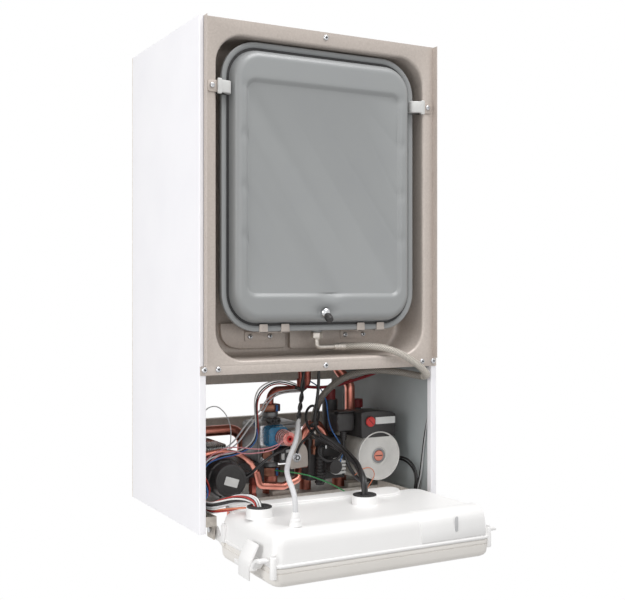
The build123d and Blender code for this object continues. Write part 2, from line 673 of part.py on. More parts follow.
with BuildPart() as chamber_insulation:
    block((-inner_side, inner_side), inner_depth, (BURNER_TOP, FIREBOX_TOP))
    fire_side = inner_side - INSULATION
    fire_depth = (inner_depth[0] + INSULATION, inner_depth[1] - INSULATION)
    block((-fire_side, fire_side), fire_depth, (BURNER_TOP - 1, FIREBOX_TOP + 1), Mode.SUBTRACT)
chamber_insulation.part.label = "chamber_insulation"
export_step(chamber_insulation.part, "parts/chamber_insulation.step")

blade_pitch = 2 * fire_side / BURNER_BLADES
with BuildPart() as burner:
    for rail in ((inner_depth[0], inner_depth[0] + BURNER_RAIL), (inner_depth[1] - BURNER_RAIL, inner_depth[1])):
        block((-inner_side, inner_side), rail, (BLADE_BOTTOM, BURNER_TOP))
    for blade in range(BURNER_BLADES):
        x = -fire_side + (blade + 0.5) * blade_pitch
        blade_top = BURNER_TOP - 2 * SHEET
        block((x - BLADE_WIDTH / 2, x + BLADE_WIDTH / 2), inner_depth, (BLADE_BOTTOM, blade_top))
burner.part.label = "burner"
export_step(burner.part, "parts/burner.step")

exchanger_side = firebox_side - 8
tube_pitch = (FIREBOX_FRONT - FIREBOX_BACK) / (EXCHANGER_TUBES + 1)
tube_height = (FIREBOX_TOP + EXCHANGER_TOP) / 2
with BuildPart() as heat_exchanger:
    fin_pitch = 2 * exchanger_side / (EXCHANGER_FINS - 1)
    for fin in range(EXCHANGER_FINS):
        x = -exchanger_side + fin * fin_pitch
        half = FIN_THICKNESS / 2
        fin_depth = (FIREBOX_BACK + 2 * SHEET, FIREBOX_FRONT - 2 * SHEET)
        block((x - half, x + half), fin_depth, (FIREBOX_TOP, EXCHANGER_TOP))
    for number in range(EXCHANGER_TUBES):
        depth = FIREBOX_BACK + (number + 1) * tube_pitch
        across(depth, tube_height, (-exchanger_side - 4, exchanger_side + 4), EXCHANGER_TUBE)
    for side in (-1, 1):
        header = (side * (exchanger_side + 3), side * (flow_header + MAIN_PIPE + 2))
        header_depth = (FIREBOX_BACK + HEADER_INSET, FIREBOX_FRONT - HEADER_INSET)
        block(header, header_depth, (tube_height - HEADER_RISE, tube_height + HEADER_RISE))
heat_exchanger.part.label = "heat_exchanger"
export_step(heat_exchanger.part, "parts/heat_exchanger.step")

with BuildPart() as flue_hood:
    hood_middle = (FIREBOX_BACK + FIREBOX_FRONT) / 2
    for shrink, mode in ((0.0, Mode.ADD), (SHEET, Mode.SUBTRACT)):
        with BuildSketch(Plane.XY.offset(up(EXCHANGER_TOP))):
            with Locations((0, -hood_middle)):
                Rectangle(FIREBOX_WIDTH - 2 * shrink, FIREBOX_FRONT - FIREBOX_BACK - 2 * shrink)
        with BuildSketch(Plane.XY.offset(up(HOOD_SHOULDER))):
            with Locations((0, -FLUE_DEPTH)):
                Rectangle(THROAT_WIDTH - 2 * shrink, THROAT_LENGTH - 2 * shrink)
        loft(mode=mode)
    half_width = THROAT_WIDTH / 2
    half_length = THROAT_LENGTH / 2
    throat = (FLUE_DEPTH - half_length, FLUE_DEPTH + half_length)
    block((-half_width, half_width), throat, (HOOD_SHOULDER, FAN_HEIGHT - FAN_RADIUS / 2))
    inner_throat = (throat[0] + SHEET, throat[1] - SHEET)
    clear = (HOOD_SHOULDER - SHEET, FAN_HEIGHT)
    block((SHEET - half_width, half_width - SHEET), inner_throat, clear, Mode.SUBTRACT)
    forward(0, FAN_HEIGHT, (0, CASE_DEPTH), FAN_RADIUS + SEAT, Mode.SUBTRACT)
flue_hood.part.label = "flue_hood"
export_step(flue_hood.part, "parts/flue_hood.step")

fan_back = FLUE_DEPTH - FAN_WIDTH / 2
fan_front = FLUE_DEPTH + FAN_WIDTH / 2
fan_hollow = (fan_back + FAN_SHEET, fan_front - FAN_SHEET)
with BuildPart() as fan_housing:
    forward(0, FAN_HEIGHT, (fan_back, fan_front), FAN_RADIUS)
    upright(0, FLUE_DEPTH, (FAN_HEIGHT, CHAMBER_ROOF - 2 * SHEET), FAN_OUTLET)
    forward(0, FAN_HEIGHT, (fan_front, fan_front + FAN_MOTOR_LENGTH), FAN_MOTOR)
    forward(0, FAN_HEIGHT, fan_hollow, FAN_RADIUS - FAN_SHEET, Mode.SUBTRACT)
    upright(0, FLUE_DEPTH, (FAN_HEIGHT, CHAMBER_ROOF), FAN_OUTLET - FAN_SHEET, Mode.SUBTRACT)
    inlet = (FAN_HEIGHT - FAN_RADIUS - SHEET, FAN_HEIGHT)
    upright(0, FLUE_DEPTH, inlet, FAN_OUTLET - 2 * FAN_SHEET, Mode.SUBTRACT)
    bearing = (fan_front - FAN_SHEET - SHEET, fan_front + FAN_MOTOR_LENGTH - 13)
    forward(0, FAN_HEIGHT, bearing, FAN_SHAFT + RUNNING_PLAY, Mode.SUBTRACT)
    lug = (chamber_back + SHEET, fan_back + 4)
    for side in (-1, 1):
        lug_x = (side * (FAN_RADIUS - 14), side * (FAN_RADIUS - 2))
        block(lug_x, lug, (FAN_HEIGHT - 12, FAN_HEIGHT + 12))
    forward(0, FAN_HEIGHT, fan_hollow, FAN_RADIUS - FAN_SHEET, Mode.SUBTRACT)
fan_housing.part.label = "fan_housing"
export_step(fan_housing.part, "parts/fan_housing.step")

wheel_back = fan_hollow[0] + 4
BLADE_LENGTH = 30.0
with BuildPart() as fan_impeller:
    forward(0, FAN_HEIGHT, (wheel_back, wheel_back + FAN_SHEET), FAN_WHEEL)
    forward(0, FAN_HEIGHT, (wheel_back, bearing[1] - 2), FAN_SHAFT)
    forward(0, FAN_HEIGHT, (wheel_back, wheel_back + 18), FAN_WHEEL / 5)
    for blade in range(FAN_BLADES):
        angle = blade * 360 / FAN_BLADES
        blade_middle = wheel_back + FAN_SHEET + BLADE_LENGTH / 2
        hub = Location((0, -blade_middle, up(FAN_HEIGHT)), (0, angle, 0))
        with Locations(hub * Location((FAN_WHEEL - 10, 0, 0))):
            Box(19, BLADE_LENGTH, 1.6)
fan_impeller.part.label = "fan_impeller"
export_step(fan_impeller.part, "parts/fan_impeller.step")

with BuildPart() as flue_collar:
    upright(0, FLUE_DEPTH, (CHAMBER_ROOF, CHAMBER_ROOF + 2 * SHEET), FLUE_FLANGE)
    upright(0, FLUE_DEPTH, (CHAMBER_ROOF, FLUE_TOP), FLUE_SOCKET + FLUE_WALL)
    upright(0, FLUE_DEPTH, (CHAMBER_ROOF - SHEET, FLUE_TOP + SHEET), FLUE_SOCKET, Mode.SUBTRACT)
flue_collar.part.label = "flue_collar"
export_step(flue_collar.part, "parts/flue_collar.step")

with BuildPart() as pressure_switch:
    switch_front = chamber_back + 24
    forward(SWITCH_X, SWITCH_HEIGHT, (chamber_back + SHEET, switch_front), SWITCH_RADIUS)
    forward(SWITCH_X, SWITCH_HEIGHT, (switch_front, switch_front + 8), SWITCH_RADIUS - 15)
    upright(SWITCH_X, chamber_back + 14, (SWITCH_HEIGHT - 40, SWITCH_HEIGHT), 3.0)
pressure_switch.part.label = "pressure_switch"
export_step(pressure_switch.part, "parts/pressure_switch.step")

# ======== Gas side ========

with BuildPart() as gas_valve_body:
    block((VALVE_LEFT, VALVE_RIGHT), (VALVE_BACK, VALVE_FRONT), (VALVE_BOTTOM + 14, VALVE_TOP - 14))
    fillet(gas_valve_body.edges().filter_by(Axis.Z), CORNER + 1)
    upright(GAS_X, TAIL_DEPTH, (VALVE_BOTTOM, VALVE_TOP), LARGE_TAIL)
    passage = (VALVE_BOTTOM - SHEET, VALVE_TOP + SHEET)
    upright(GAS_X, TAIL_DEPTH, passage, GAS_PIPE + SHEET, Mode.SUBTRACT)
    plug_height = VALVE_BOTTOM + 28
    forward(VALVE_LEFT + 12, plug_height, (VALVE_FRONT, VALVE_FRONT + 6), 9.0)
    block((COIL_X - 2, VALVE_RIGHT - 23), (VALVE_FRONT, VALVE_FRONT + 19.7), (plug_height - 12, plug_height + 12))
gas_valve_body.part.label = "gas_valve_body"
export_step(gas_valve_body.part, "parts/gas_valve_body.step")

with BuildPart() as gas_solenoid:
    solenoid = (COIL_HEIGHT - 15.5, COIL_HEIGHT + 16.5)
    block((VALVE_LEFT - 3, COIL_X + 8), (VALVE_FRONT, SOLENOID_FRONT), solenoid)
    fillet(gas_solenoid.edges().filter_by(Axis.Y), 3.0)
gas_solenoid.part.label = "gas_solenoid"
export_step(gas_solenoid.part, "parts/gas_solenoid.step")

TURN_PITCH = 5.5
coil_front = SOLENOID_FRONT + COIL_TURNS * TURN_PITCH
with BuildPart() as gas_coil:
    for turn in range(COIL_TURNS):
        start = SOLENOID_FRONT + turn * TURN_PITCH
        forward(COIL_X, COIL_HEIGHT, (start, start + 3.2), COIL_RADIUS)
    forward(COIL_X, COIL_HEIGHT, (SOLENOID_FRONT, coil_front), COIL_RADIUS - 1.2)
gas_coil.part.label = "gas_coil"
export_step(gas_coil.part, "parts/gas_coil.step")

with BuildPart() as gas_nuts:
    for height in ((VALVE_BOTTOM - 14, VALVE_BOTTOM), (VALVE_TOP, VALVE_TOP + 12)):
        hexagon(GAS_X, TAIL_DEPTH, height, NUT_ACROSS)
        upright(GAS_X, TAIL_DEPTH, height, GAS_PIPE + SEAT, Mode.SUBTRACT)
gas_nuts.part.label = "gas_nuts"
export_step(gas_nuts.part, "parts/gas_nuts.step")

gas_run = VALVE_TOP + 34
riser_foot = MANIFOLD_HEIGHT - 12
with BuildPart() as gas_pipe:
    gas_route = [
        (GAS_X, TAIL_DEPTH, VALVE_TOP),
        (GAS_X, TAIL_DEPTH, gas_run),
        (gas_riser[0], TAIL_DEPTH, gas_run),
        (gas_riser[0], TAIL_DEPTH, riser_foot),
    ]
    pipe(gas_route, GAS_PIPE, 2.6 * GAS_PIPE)
    across(TAIL_DEPTH, MANIFOLD_HEIGHT, (-fire_side, fire_side), MANIFOLD)
    for blade in range(BURNER_BLADES):
        x = -fire_side + (blade + 0.5) * blade_pitch
        upright(x, TAIL_DEPTH, (MANIFOLD_HEIGHT, BLADE_BOTTOM), JET)
    upright(*gas_riser, (riser_foot, MANIFOLD_HEIGHT), GAS_PIPE + 2 * SHEET)
gas_pipe.part.label = "gas_pipe"
export_step(gas_pipe.part, "parts/gas_pipe.step")

bracket_depth = VALVE_FRONT + 20
with BuildPart() as bracket_plate:
    with BuildSketch(Plane.XZ.offset(bracket_depth)):
        with BuildLine():
            Polyline(
                (VALVE_RIGHT - 31, up(120)),
                (VALVE_RIGHT - 13, up(120)),
                (VALVE_RIGHT - 11, up(98)),
                (VALVE_RIGHT - 2, up(90)),
                (VALVE_RIGHT - 1, up(60)),
                (VALVE_RIGHT - 33, up(58)),
                (VALVE_RIGHT - 31, up(120)),
            )
        make_face()
    extrude(amount=FRAME_SHEET)
    shelf = (VALVE_FRONT, bracket_depth + FRAME_SHEET)
    block((VALVE_RIGHT - 31, VALVE_RIGHT - 13), shelf, (118.0, 120.0))
    bolt = (bracket_depth + FRAME_SHEET, bracket_depth + FRAME_SHEET + 3.5)
    forward(VALVE_RIGHT - 21.3, 75.7, bolt, 5.0)
bracket_plate.part.label = "bracket_plate"
export_step(bracket_plate.part, "parts/bracket_plate.step")

# ======== Water side ========

volute_room = VOLUTE_RADIUS + SEAT
with BuildPart() as pipe_tails:
    for x, radius in tails:
        top = VALVE_BOTTOM - 14 if x == GAS_X else BLOCK_BOTTOM
        if x == RETURN_X:
            top = PUMP_HEIGHT - VOLUTE_RADIUS + 3
        upright(x, TAIL_DEPTH, (TAIL_END, TAIL_STEP), radius)
        upright(x, TAIL_DEPTH, (TAIL_STEP, top), radius - SHEET)
        upright(x, TAIL_DEPTH, (TAIL_END - SHEET, top + SHEET), radius - TAIL_WALL, Mode.SUBTRACT)
    forward(PUMP_X, PUMP_HEIGHT, (0, CASE_DEPTH), volute_room, Mode.SUBTRACT)
pipe_tails.part.label = "pipe_tails"
export_step(pipe_tails.part, "parts/pipe_tails.step")

plate_bottom = FLOW_BLOCK_TOP + 8
stem_height = ACTUATOR_HEIGHT - STEM_DROP
stem_room = STEM_RADIUS + RUNNING_PLAY
stem = (137.0, 178.0)
actuator_foot = 165.0
flow_drop = (FLOW_X + 94, 90.0)
with BuildPart() as flow_block:
    block((FLOW_X - 21, flow_drop[0] + 13), (78.0, 150.0), (BLOCK_BOTTOM, FLOW_BLOCK_TOP))
    fillet(flow_block.edges().filter_by(Axis.Z), CORNER)
    forward(ACTUATOR_X, stem_height, (140.0, actuator_foot), 15.0)
    stem_bore = (stem[0] - DIVERTER_TRAVEL - SHEET, actuator_foot + SHEET)
    forward(ACTUATOR_X, stem_height, stem_bore, stem_room, Mode.SUBTRACT)
    for depth in (60.0, 140.0):
        upright(FLOW_X, depth, (FLOW_BLOCK_TOP - 20, plate_bottom), 9.0)
    block((FLOW_X - 13, FLOW_X + 13), (50.0, 80.0), (BLOCK_BOTTOM + 6, FLOW_BLOCK_TOP))
flow_block.part.label = "flow_block"
export_step(flow_block.part, "parts/flow_block.step")

with BuildPart() as plate_exchanger:
    stack = [(EXCHANGER_SIZE, PLATE_SHEET, plate_bottom + number * PLATE_GAP) for number in range(PLATES)]
    core = (EXCHANGER_SIZE[0] - 4, EXCHANGER_SIZE[1] - 4)
    stack.append((core, (PLATES - 1) * PLATE_GAP, plate_bottom))
    for size, thickness, base in stack:
        with BuildSketch(Plane.XY.offset(up(base))):
            with Locations((FLOW_X - 2, -100.0)):
                RectangleRounded(*size, 9.0)
        extrude(amount=thickness)
plate_exchanger.part.label = "plate_exchanger"
export_step(plate_exchanger.part, "parts/plate_exchanger.step")

ACTUATOR_DISC = 25.0
actuator_shoulder = ACTUATOR_FRONT - 21
with BuildPart() as diverter_actuator:
    forward(ACTUATOR_X, ACTUATOR_HEIGHT, (actuator_foot + 10, actuator_shoulder), ACTUATOR_DISC + 6)
    forward(ACTUATOR_X, ACTUATOR_HEIGHT, (actuator_shoulder, ACTUATOR_FRONT), ACTUATOR_DISC)
    forward(ACTUATOR_X, stem_height, (actuator_foot, actuator_foot + 11), 18.0)
    forward(ACTUATOR_X, stem_height, (actuator_foot - SHEET, actuator_foot + 20), stem_room, Mode.SUBTRACT)
    socket_x = (ACTUATOR_X + ACTUATOR_DISC + 1, ACTUATOR_X + ACTUATOR_DISC + 15)
    socket_depth = (actuator_foot + 13, actuator_foot + 35)
    block(socket_x, socket_depth, (ACTUATOR_HEIGHT - 12, ACTUATOR_HEIGHT + 8))
diverter_actuator.part.label = "diverter_actuator"
export_step(diverter_actuator.part, "parts/diverter_actuator.step")

with BuildPart() as diverter_stem:
    forward(ACTUATOR_X, stem_height, stem, STEM_RADIUS)
diverter_stem.part.label = "diverter_stem"
export_step(diverter_stem.part, "parts/diverter_stem.step")

pump_port = (PUMP_X + 12, 110.0)
relief_place = (CASE_WIDTH / 2 - 26, 92.0)
shaft_room = ROTOR_SHAFT + RUNNING_PLAY
with BuildPart() as pump_volute:
    forward(PUMP_X, PUMP_HEIGHT, (VOLUTE_BACK, VOLUTE_FRONT), VOLUTE_RADIUS)
    upright(*pump_port, (PUMP_HEIGHT, PORT_TOP), MAIN_PIPE + 3.5)
    upright(*relief_place, (PUMP_HEIGHT, RELIEF_TOP), 8.0)
    upright(*relief_place, (RELIEF_TOP, RELIEF_TOP + 6), SPINDLE)
    upright(*pump_port, (PUMP_HEIGHT, PORT_TOP + SHEET), MAIN_PIPE - PIPE_WALL, Mode.SUBTRACT)
    hollow_depth = (VOLUTE_BACK + VOLUTE_WALL - 1, VOLUTE_FRONT - VOLUTE_WALL + 1)
    forward(PUMP_X, PUMP_HEIGHT, hollow_depth, VOLUTE_RADIUS - VOLUTE_WALL, Mode.SUBTRACT)
    shaft_hole = (VOLUTE_FRONT - VOLUTE_WALL, VOLUTE_FRONT + SHEET)
    forward(PUMP_X, PUMP_HEIGHT, shaft_hole, shaft_room, Mode.SUBTRACT)
    inlet = (PUMP_HEIGHT - VOLUTE_RADIUS - SHEET, PUMP_HEIGHT)
    upright(RETURN_X, TAIL_DEPTH, inlet, 9.0, Mode.SUBTRACT)
pump_volute.part.label = "pump_volute"
export_step(pump_volute.part, "parts/pump_volute.step")

with BuildPart() as pump_motor:
    forward(PUMP_X, PUMP_HEIGHT, (VOLUTE_FRONT, VOLUTE_FRONT + MOTOR_FLANGE), VOLUTE_RADIUS - SHEET)
    forward(PUMP_X, PUMP_HEIGHT, (VOLUTE_FRONT, MOTOR_FRONT), MOTOR_RADIUS)
    fillet(pump_motor.faces().sort_by(Axis.Y)[0].edges(), 4.0)
    core_room = (VOLUTE_FRONT + MOTOR_FLANGE + 5, MOTOR_FRONT - 16)
    forward(PUMP_X, PUMP_HEIGHT, core_room, ROTOR_CORE + 3, Mode.SUBTRACT)
    bearing = (VOLUTE_FRONT - SHEET, MOTOR_FRONT - 10)
    forward(PUMP_X, PUMP_HEIGHT, bearing, shaft_room, Mode.SUBTRACT)
pump_motor.part.label = "pump_motor"
export_step(pump_motor.part, "parts/pump_motor.step")

disc_sheet = 2.5
rotor_back = VOLUTE_BACK + 12
with BuildPart() as pump_rotor:
    forward(PUMP_X, PUMP_HEIGHT, (rotor_back, MOTOR_FRONT - 12), ROTOR_SHAFT)
    forward(PUMP_X, PUMP_HEIGHT, (core_room[0] + 4, core_room[1] - 4), ROTOR_CORE)
    for start in (rotor_back, rotor_back + disc_sheet + ROTOR_GAP):
        forward(PUMP_X, PUMP_HEIGHT, (start, start + disc_sheet), ROTOR_DISC)
    for blade in range(6):
        blade_middle = rotor_back + disc_sheet + ROTOR_GAP / 2
        hub = Location((PUMP_X, -blade_middle, up(PUMP_HEIGHT)), (0, blade * 60, 0))
        with Locations(hub * Location((ROTOR_CORE, 0, 0))):
            Box(28, ROTOR_GAP, 2.0)
pump_rotor.part.label = "pump_rotor"
export_step(pump_rotor.part, "parts/pump_rotor.step")

knob_x = PUMP_X - 18
knob_height = TERMINAL_TOP - 17
terminal_left = PUMP_X - 33
spindle_room = SPINDLE + RUNNING_PLAY
with BuildPart() as pump_terminal_box:
    block((terminal_left, PUMP_X + 32), (160.0, TERMINAL_FRONT), (TERMINAL_TOP - 46, TERMINAL_TOP))
    fillet(pump_terminal_box.edges().filter_by(Axis.Y).group_by(Axis.Z)[-1], 3.0)
    forward(PUMP_X, PUMP_HEIGHT, (0, CASE_DEPTH), MOTOR_RADIUS + SEAT, Mode.SUBTRACT)
    spindle_hole = (TERMINAL_FRONT - 8, TERMINAL_FRONT + SHEET)
    forward(knob_x, knob_height, spindle_hole, spindle_room, Mode.SUBTRACT)
pump_terminal_box.part.label = "pump_terminal_box"
export_step(pump_terminal_box.part, "parts/pump_terminal_box.step")

with BuildPart() as pump_speed_knob:
    forward(knob_x, knob_height, (TERMINAL_FRONT + SEAT, TERMINAL_FRONT + 4), SPEED_KNOB)
    slot_front = (TERMINAL_FRONT + 3, TERMINAL_FRONT + 5)
    block((knob_x - 6, knob_x + 6), slot_front, (knob_height - 1, knob_height + 1), Mode.SUBTRACT)
    forward(knob_x, knob_height, (TERMINAL_FRONT - 7, TERMINAL_FRONT + 2), SPINDLE)
pump_speed_knob.part.label = "pump_speed_knob"
export_step(pump_speed_knob.part, "parts/pump_speed_knob.step")

plug_bottom = TERMINAL_TOP - 34
relief_end = plug_bottom - 14
lead_x = terminal_left - 18
lead_depth = 196.0
with BuildPart() as pump_plug:
    block((terminal_left - 30, terminal_left), (lead_depth - 24, lead_depth + 9), (plug_bottom, TERMINAL_TOP - 1))
    fillet(pump_plug.edges().filter_by(Axis.Y), 3.0)
    upright(lead_x, lead_depth, (relief_end, plug_bottom), PUMP_LEAD + 2)
pump_plug.part.label = "pump_plug"
export_step(pump_plug.part, "parts/pump_plug.step")

block_left = COLD_X - 24
with BuildPart() as return_block:
    block((block_left, block_left + 70), (95.0, 175.0), (BLOCK_BOTTOM, RETURN_BLOCK_TOP))
    fillet(return_block.edges().filter_by(Axis.Z), CORNER)
    forward(PUMP_X, PUMP_HEIGHT, (0, CASE_DEPTH), volute_room, Mode.SUBTRACT)
    forward(COLD_X + 10, BLOCK_BOTTOM + 24, (170.0, 192.0), 13.0)
    forward(COLD_X + 10, BLOCK_BOTTOM + 24, (192.0, 206.0), 11.0)
return_block.part.label = "return_block"
export_step(return_block.part, "parts/return_block.step")

with BuildPart() as air_vent:
    upright(VENT_X, TAIL_DEPTH, (RETURN_BLOCK_TOP, VENT_TOP), VENT_RADIUS)
    forward(PUMP_X, PUMP_HEIGHT, (0, CASE_DEPTH), volute_room, Mode.SUBTRACT)
air_vent.part.label = "air_vent"
export_step(air_vent.part, "parts/air_vent.step")

with BuildPart() as air_vent_cap:
    upright(VENT_X, TAIL_DEPTH, (VENT_TOP, VENT_TOP + 17), VENT_RADIUS - 3.5)
    fillet(air_vent_cap.edges().group_by(Axis.Z)[-1], 2.0)
air_vent_cap.part.label = "air_vent_cap"
export_step(air_vent_cap.part, "parts/air_vent_cap.step")

with BuildPart() as relief_knob:
    upright(*relief_place, (RELIEF_TOP + SEAT, RELIEF_TOP + 14), 11.0)
    upright(*relief_place, (RELIEF_TOP, RELIEF_TOP + 7), spindle_room, Mode.SUBTRACT)
relief_knob.part.label = "relief_knob"
export_step(relief_knob.part, "parts/relief_knob.step")

flow_route = [
    (*flow_riser, tube_height - HEADER_RISE),
    (*flow_riser, CHAMBER_BOTTOM - 15),
    (FLOW_X - 13, 90.0, 176.0),
    (FLOW_X - 13, 90.0, 112.0),
    (flow_drop[0], 90.0, 112.0),
    (*flow_drop, FLOW_BLOCK_TOP),
]
return_route = [
    (*pump_port, PORT_TOP),
    (*pump_port, 178.0),
    (*return_riser, CHAMBER_BOTTOM - 13),
    (*return_riser, tube_height - HEADER_RISE),
]
with BuildPart() as heating_pipes:
    pipe(flow_route, MAIN_PIPE, 2.9 * MAIN_PIPE)
    pipe(return_route, MAIN_PIPE, 2.6 * MAIN_PIPE)
heating_pipes.part.label = "heating_pipes"
export_step(heating_pipes.part, "parts/heating_pipes.step")

bypass_route = [
    (block_left + 17, 130.0, RETURN_BLOCK_TOP),
    (block_left + 17, 130.0, RETURN_BLOCK_TOP + 20),
    (block_left + 51, 130.0, RETURN_BLOCK_TOP + 20),
    (block_left + 51, 130.0, RETURN_BLOCK_TOP),
]
cross_route = [
    (-60.0, 180.0, 58.0),
    (-54.0, 180.0, 36.0),
    (-14.0, 181.0, 31.0),
    (12.0, 182.0, 40.0),
    (20.0, 168.0, 60.0),
    (block_left, 168.0, 60.0),
]
branch_end = EXCHANGER_SIZE[1] / 2 + 100
branch_route = [
    (FLOW_X - 23, branch_end, 92.0),
    (FLOW_X - 23, branch_end + 27, 92.0),
    (-126.0, 199.0, 97.0),
    (-97.0, 197.0, 90.0),
    (-73.0, 188.0, 74.0),
    (-60.0, 180.0, 57.0),
]
with BuildPart() as small_pipes:
    pipe(bypass_route, 5.0, 16.5)
    pipe(cross_route, 6.0, 8.0)
    pipe(branch_route, 4.5, 9.0)
small_pipes.part.label = "small_pipes"
export_step(small_pipes.part, "parts/small_pipes.step")

# ======== Control box ========

knob_places = (("heating_knob", HEATING_KNOB_X), ("hot_water_knob", WATER_KNOB_X))
box_side = BOX_WIDTH / 2
box_middle = (BOX_REAR + BOX_FRONT) / 2
box_length = BOX_FRONT - BOX_REAR
lug_depth = (LUG_DEPTH - LUG_WIDTH / 2, LUG_DEPTH + LUG_WIDTH / 2)
gauge_face = BOX_BOTTOM - SHEET


def box_outline(shrink, radius):
    """The control box's outline, in a sketch that lies flat."""
    with Locations((0, -box_middle)):
        RectangleRounded(BOX_WIDTH - 2 * shrink, box_length - 2 * shrink, radius)


with BuildPart() as control_box_base:
    with BuildSketch(Plane.XY.offset(up(BOX_BOTTOM))):
        box_outline(BASE_INSET, BOX_CORNER)
    extrude(amount=BOX_SEAM - BOX_BOTTOM)
    with BuildSketch(Plane.XY.offset(up(BOX_BOTTOM + BOX_WALL))):
        box_outline(BASE_INSET + BOX_WALL, BOX_CORNER - BOX_WALL)
    extrude(amount=BOX_SEAM - BOX_BOTTOM, mode=Mode.SUBTRACT)
    upright(GAUGE_X, KNOB_DEPTH, (BOX_BOTTOM - GAUGE_RIM, BOX_BOTTOM), GAUGE_RADIUS)
    dial = (BOX_BOTTOM - GAUGE_RIM - SHEET, gauge_face)
    upright(GAUGE_X, KNOB_DEPTH, dial, GAUGE_RADIUS - GAUGE_RIM, Mode.SUBTRACT)
    for name, x in knob_places:
        through = (BOX_BOTTOM - SHEET, BOX_BOTTOM + BOX_WALL + SHEET)
        upright(x, KNOB_DEPTH, through, spindle_room, Mode.SUBTRACT)
    ear_back = HINGE_DEPTH - 2.5 * HINGE_PIN
    for side in (-1, 1):
        ear_x = (side * (box_side - BASE_INSET - EAR), side * (box_side - BASE_INSET))
        block(ear_x, (HINGE_DEPTH, BOX_REAR + BOX_CORNER + 4), (BOX_SEAM - 8, BOX_SEAM))
        block(ear_x, (ear_back, BOX_REAR + 1), (BOX_SEAM - 2, HINGE_HEIGHT + 8))
        hole = sorted((side * (box_side - 2 * BASE_INSET - EAR), side * box_side))
        across(HINGE_DEPTH, HINGE_HEIGHT, hole, HINGE_PIN + RUNNING_PLAY, Mode.SUBTRACT)
        lug = (side * (box_side - BASE_INSET), side * (box_side + BASE_INSET))
        block(lug, lug_depth, (BOX_SEAM - 5, BOX_SEAM))
control_box_base.part.label = "control_box_base"
export_step(control_box_base.part, "parts/control_box_base.step")

with BuildPart() as hinge_pins:
    for side in (-1, 1):
        ends = sorted((side * (box_side - BASE_INSET - 2 * EAR), side * (arm_inside + FRAME_SHEET + EAR)))
        across(HINGE_DEPTH, HINGE_HEIGHT, ends, HINGE_PIN)
hinge_pins.part.label = "hinge_pins"
export_step(hinge_pins.part, "parts/hinge_pins.step")

with BuildPart() as control_box_cover:
    for shrink, top, mode in ((0.0, BOX_TOP, Mode.ADD), (BOX_WALL, BOX_TOP - BOX_WALL, Mode.SUBTRACT)):
        with BuildSketch(Plane.XY.offset(up(BOX_SEAM))):
            box_outline(shrink, BOX_CORNER)
        with BuildSketch(Plane.XY.offset(up(top))):
            box_outline(shrink + BOX_DRAFT, BOX_CORNER)
        loft(mode=mode)
    for x in (LEFT_GROMMET_X, RIGHT_GROMMET_X):
        upright(x, GROMMET_DEPTH, (BOX_TOP - BOX_WALL, BOX_TOP + GROMMET_HEIGHT), GROMMET_RADIUS)
        neck = (BOX_TOP - 2 * BOX_WALL, BOX_TOP + GROMMET_HEIGHT + 1)
        upright(x, GROMMET_DEPTH, neck, GROMMET_RADIUS - GROMMET_WALL, Mode.SUBTRACT)
    pad_depth = (BOX_REAR + 10, BOX_REAR + 32)
    block((GAUGE_X - 15, GAUGE_X + 35), pad_depth, (BOX_TOP - BOX_WALL, BOX_TOP + 5))
    for side in (-1, 1):
        lug = (side * (box_side - BOX_WALL), side * (box_side + BASE_INSET))
        block(lug, lug_depth, (BOX_SEAM, BOX_SEAM + 24))
    upright(GLAND_X, GLAND_DEPTH, (BOX_TOP - 2 * BOX_WALL, BOX_TOP + SHEET), GLAND_STEM + SEAT, Mode.SUBTRACT)
control_box_cover.part.label = "control_box_cover"
export_step(control_box_cover.part, "parts/control_box_cover.step")

collar_top = BOX_TOP + GROMMET_HEIGHT
gland_top = BOX_TOP + GLAND_LENGTH
with BuildPart() as cable_entries:
    for x in (LEFT_GROMMET_X, RIGHT_GROMMET_X):
        upright(x, GROMMET_DEPTH, (BOX_TOP, collar_top), GROMMET_RADIUS - GROMMET_WALL - SEAT)
        upright(x, GROMMET_DEPTH, (collar_top, collar_top + 2), GROMMET_RADIUS - SHEET)
        bore = (BOX_TOP - SHEET, collar_top + GROMMET_WALL)
        upright(x, GROMMET_DEPTH, bore, HARNESS_LEAD + SEAT, Mode.SUBTRACT)
    upright(GLAND_X, GLAND_DEPTH, (BOX_TOP - BOX_WALL, BOX_TOP), GLAND_STEM)
    with Locations((GLAND_X, -GLAND_DEPTH, up(BOX_TOP + GLAND_LENGTH / 2))):
        Cone(GLAND_FOOT, MAINS_LEAD + 1.2, GLAND_LENGTH)
    bore = (BOX_TOP - 2 * BOX_WALL, gland_top + SHEET)
    upright(GLAND_X, GLAND_DEPTH, bore, MAINS_LEAD + HOLE_PLAY, Mode.SUBTRACT)
cable_entries.part.label = "cable_entries"
export_step(cable_entries.part, "parts/cable_entries.step")

board_side = BOARD_WIDTH / 2
board_top = BOARD_HEIGHT + BOARD_THICKNESS
with BuildPart() as circuit_board:
    block((-board_side, board_side), (BOARD_REAR, BOARD_FRONT), (BOARD_HEIGHT, board_top))
    for x in (20 - board_side, board_side - 20):
        for depth in (BOARD_REAR + 15, BOARD_FRONT - 15):
            upright(x, depth, (BOX_BOTTOM + BOX_WALL, BOARD_HEIGHT), 4.0)
    for number in range(5):
        x = 24.0 * number - 20
        block((x - 9, x + 9), (BOARD_FRONT - 35, BOARD_FRONT - 13), (board_top, board_top + 14))
    for number in range(7):
        x = 15 - board_side + number * 38
        block((x - 14, x + 14), (BOARD_REAR + 4, BOARD_REAR + 14), (board_top, board_top + 9))
    block((22 - board_side, 62 - board_side), (BOARD_REAR + 35, BOARD_REAR + 90), (board_top, board_top + 18))
circuit_board.part.label = "circuit_board"
export_step(circuit_board.part, "parts/circuit_board.step")

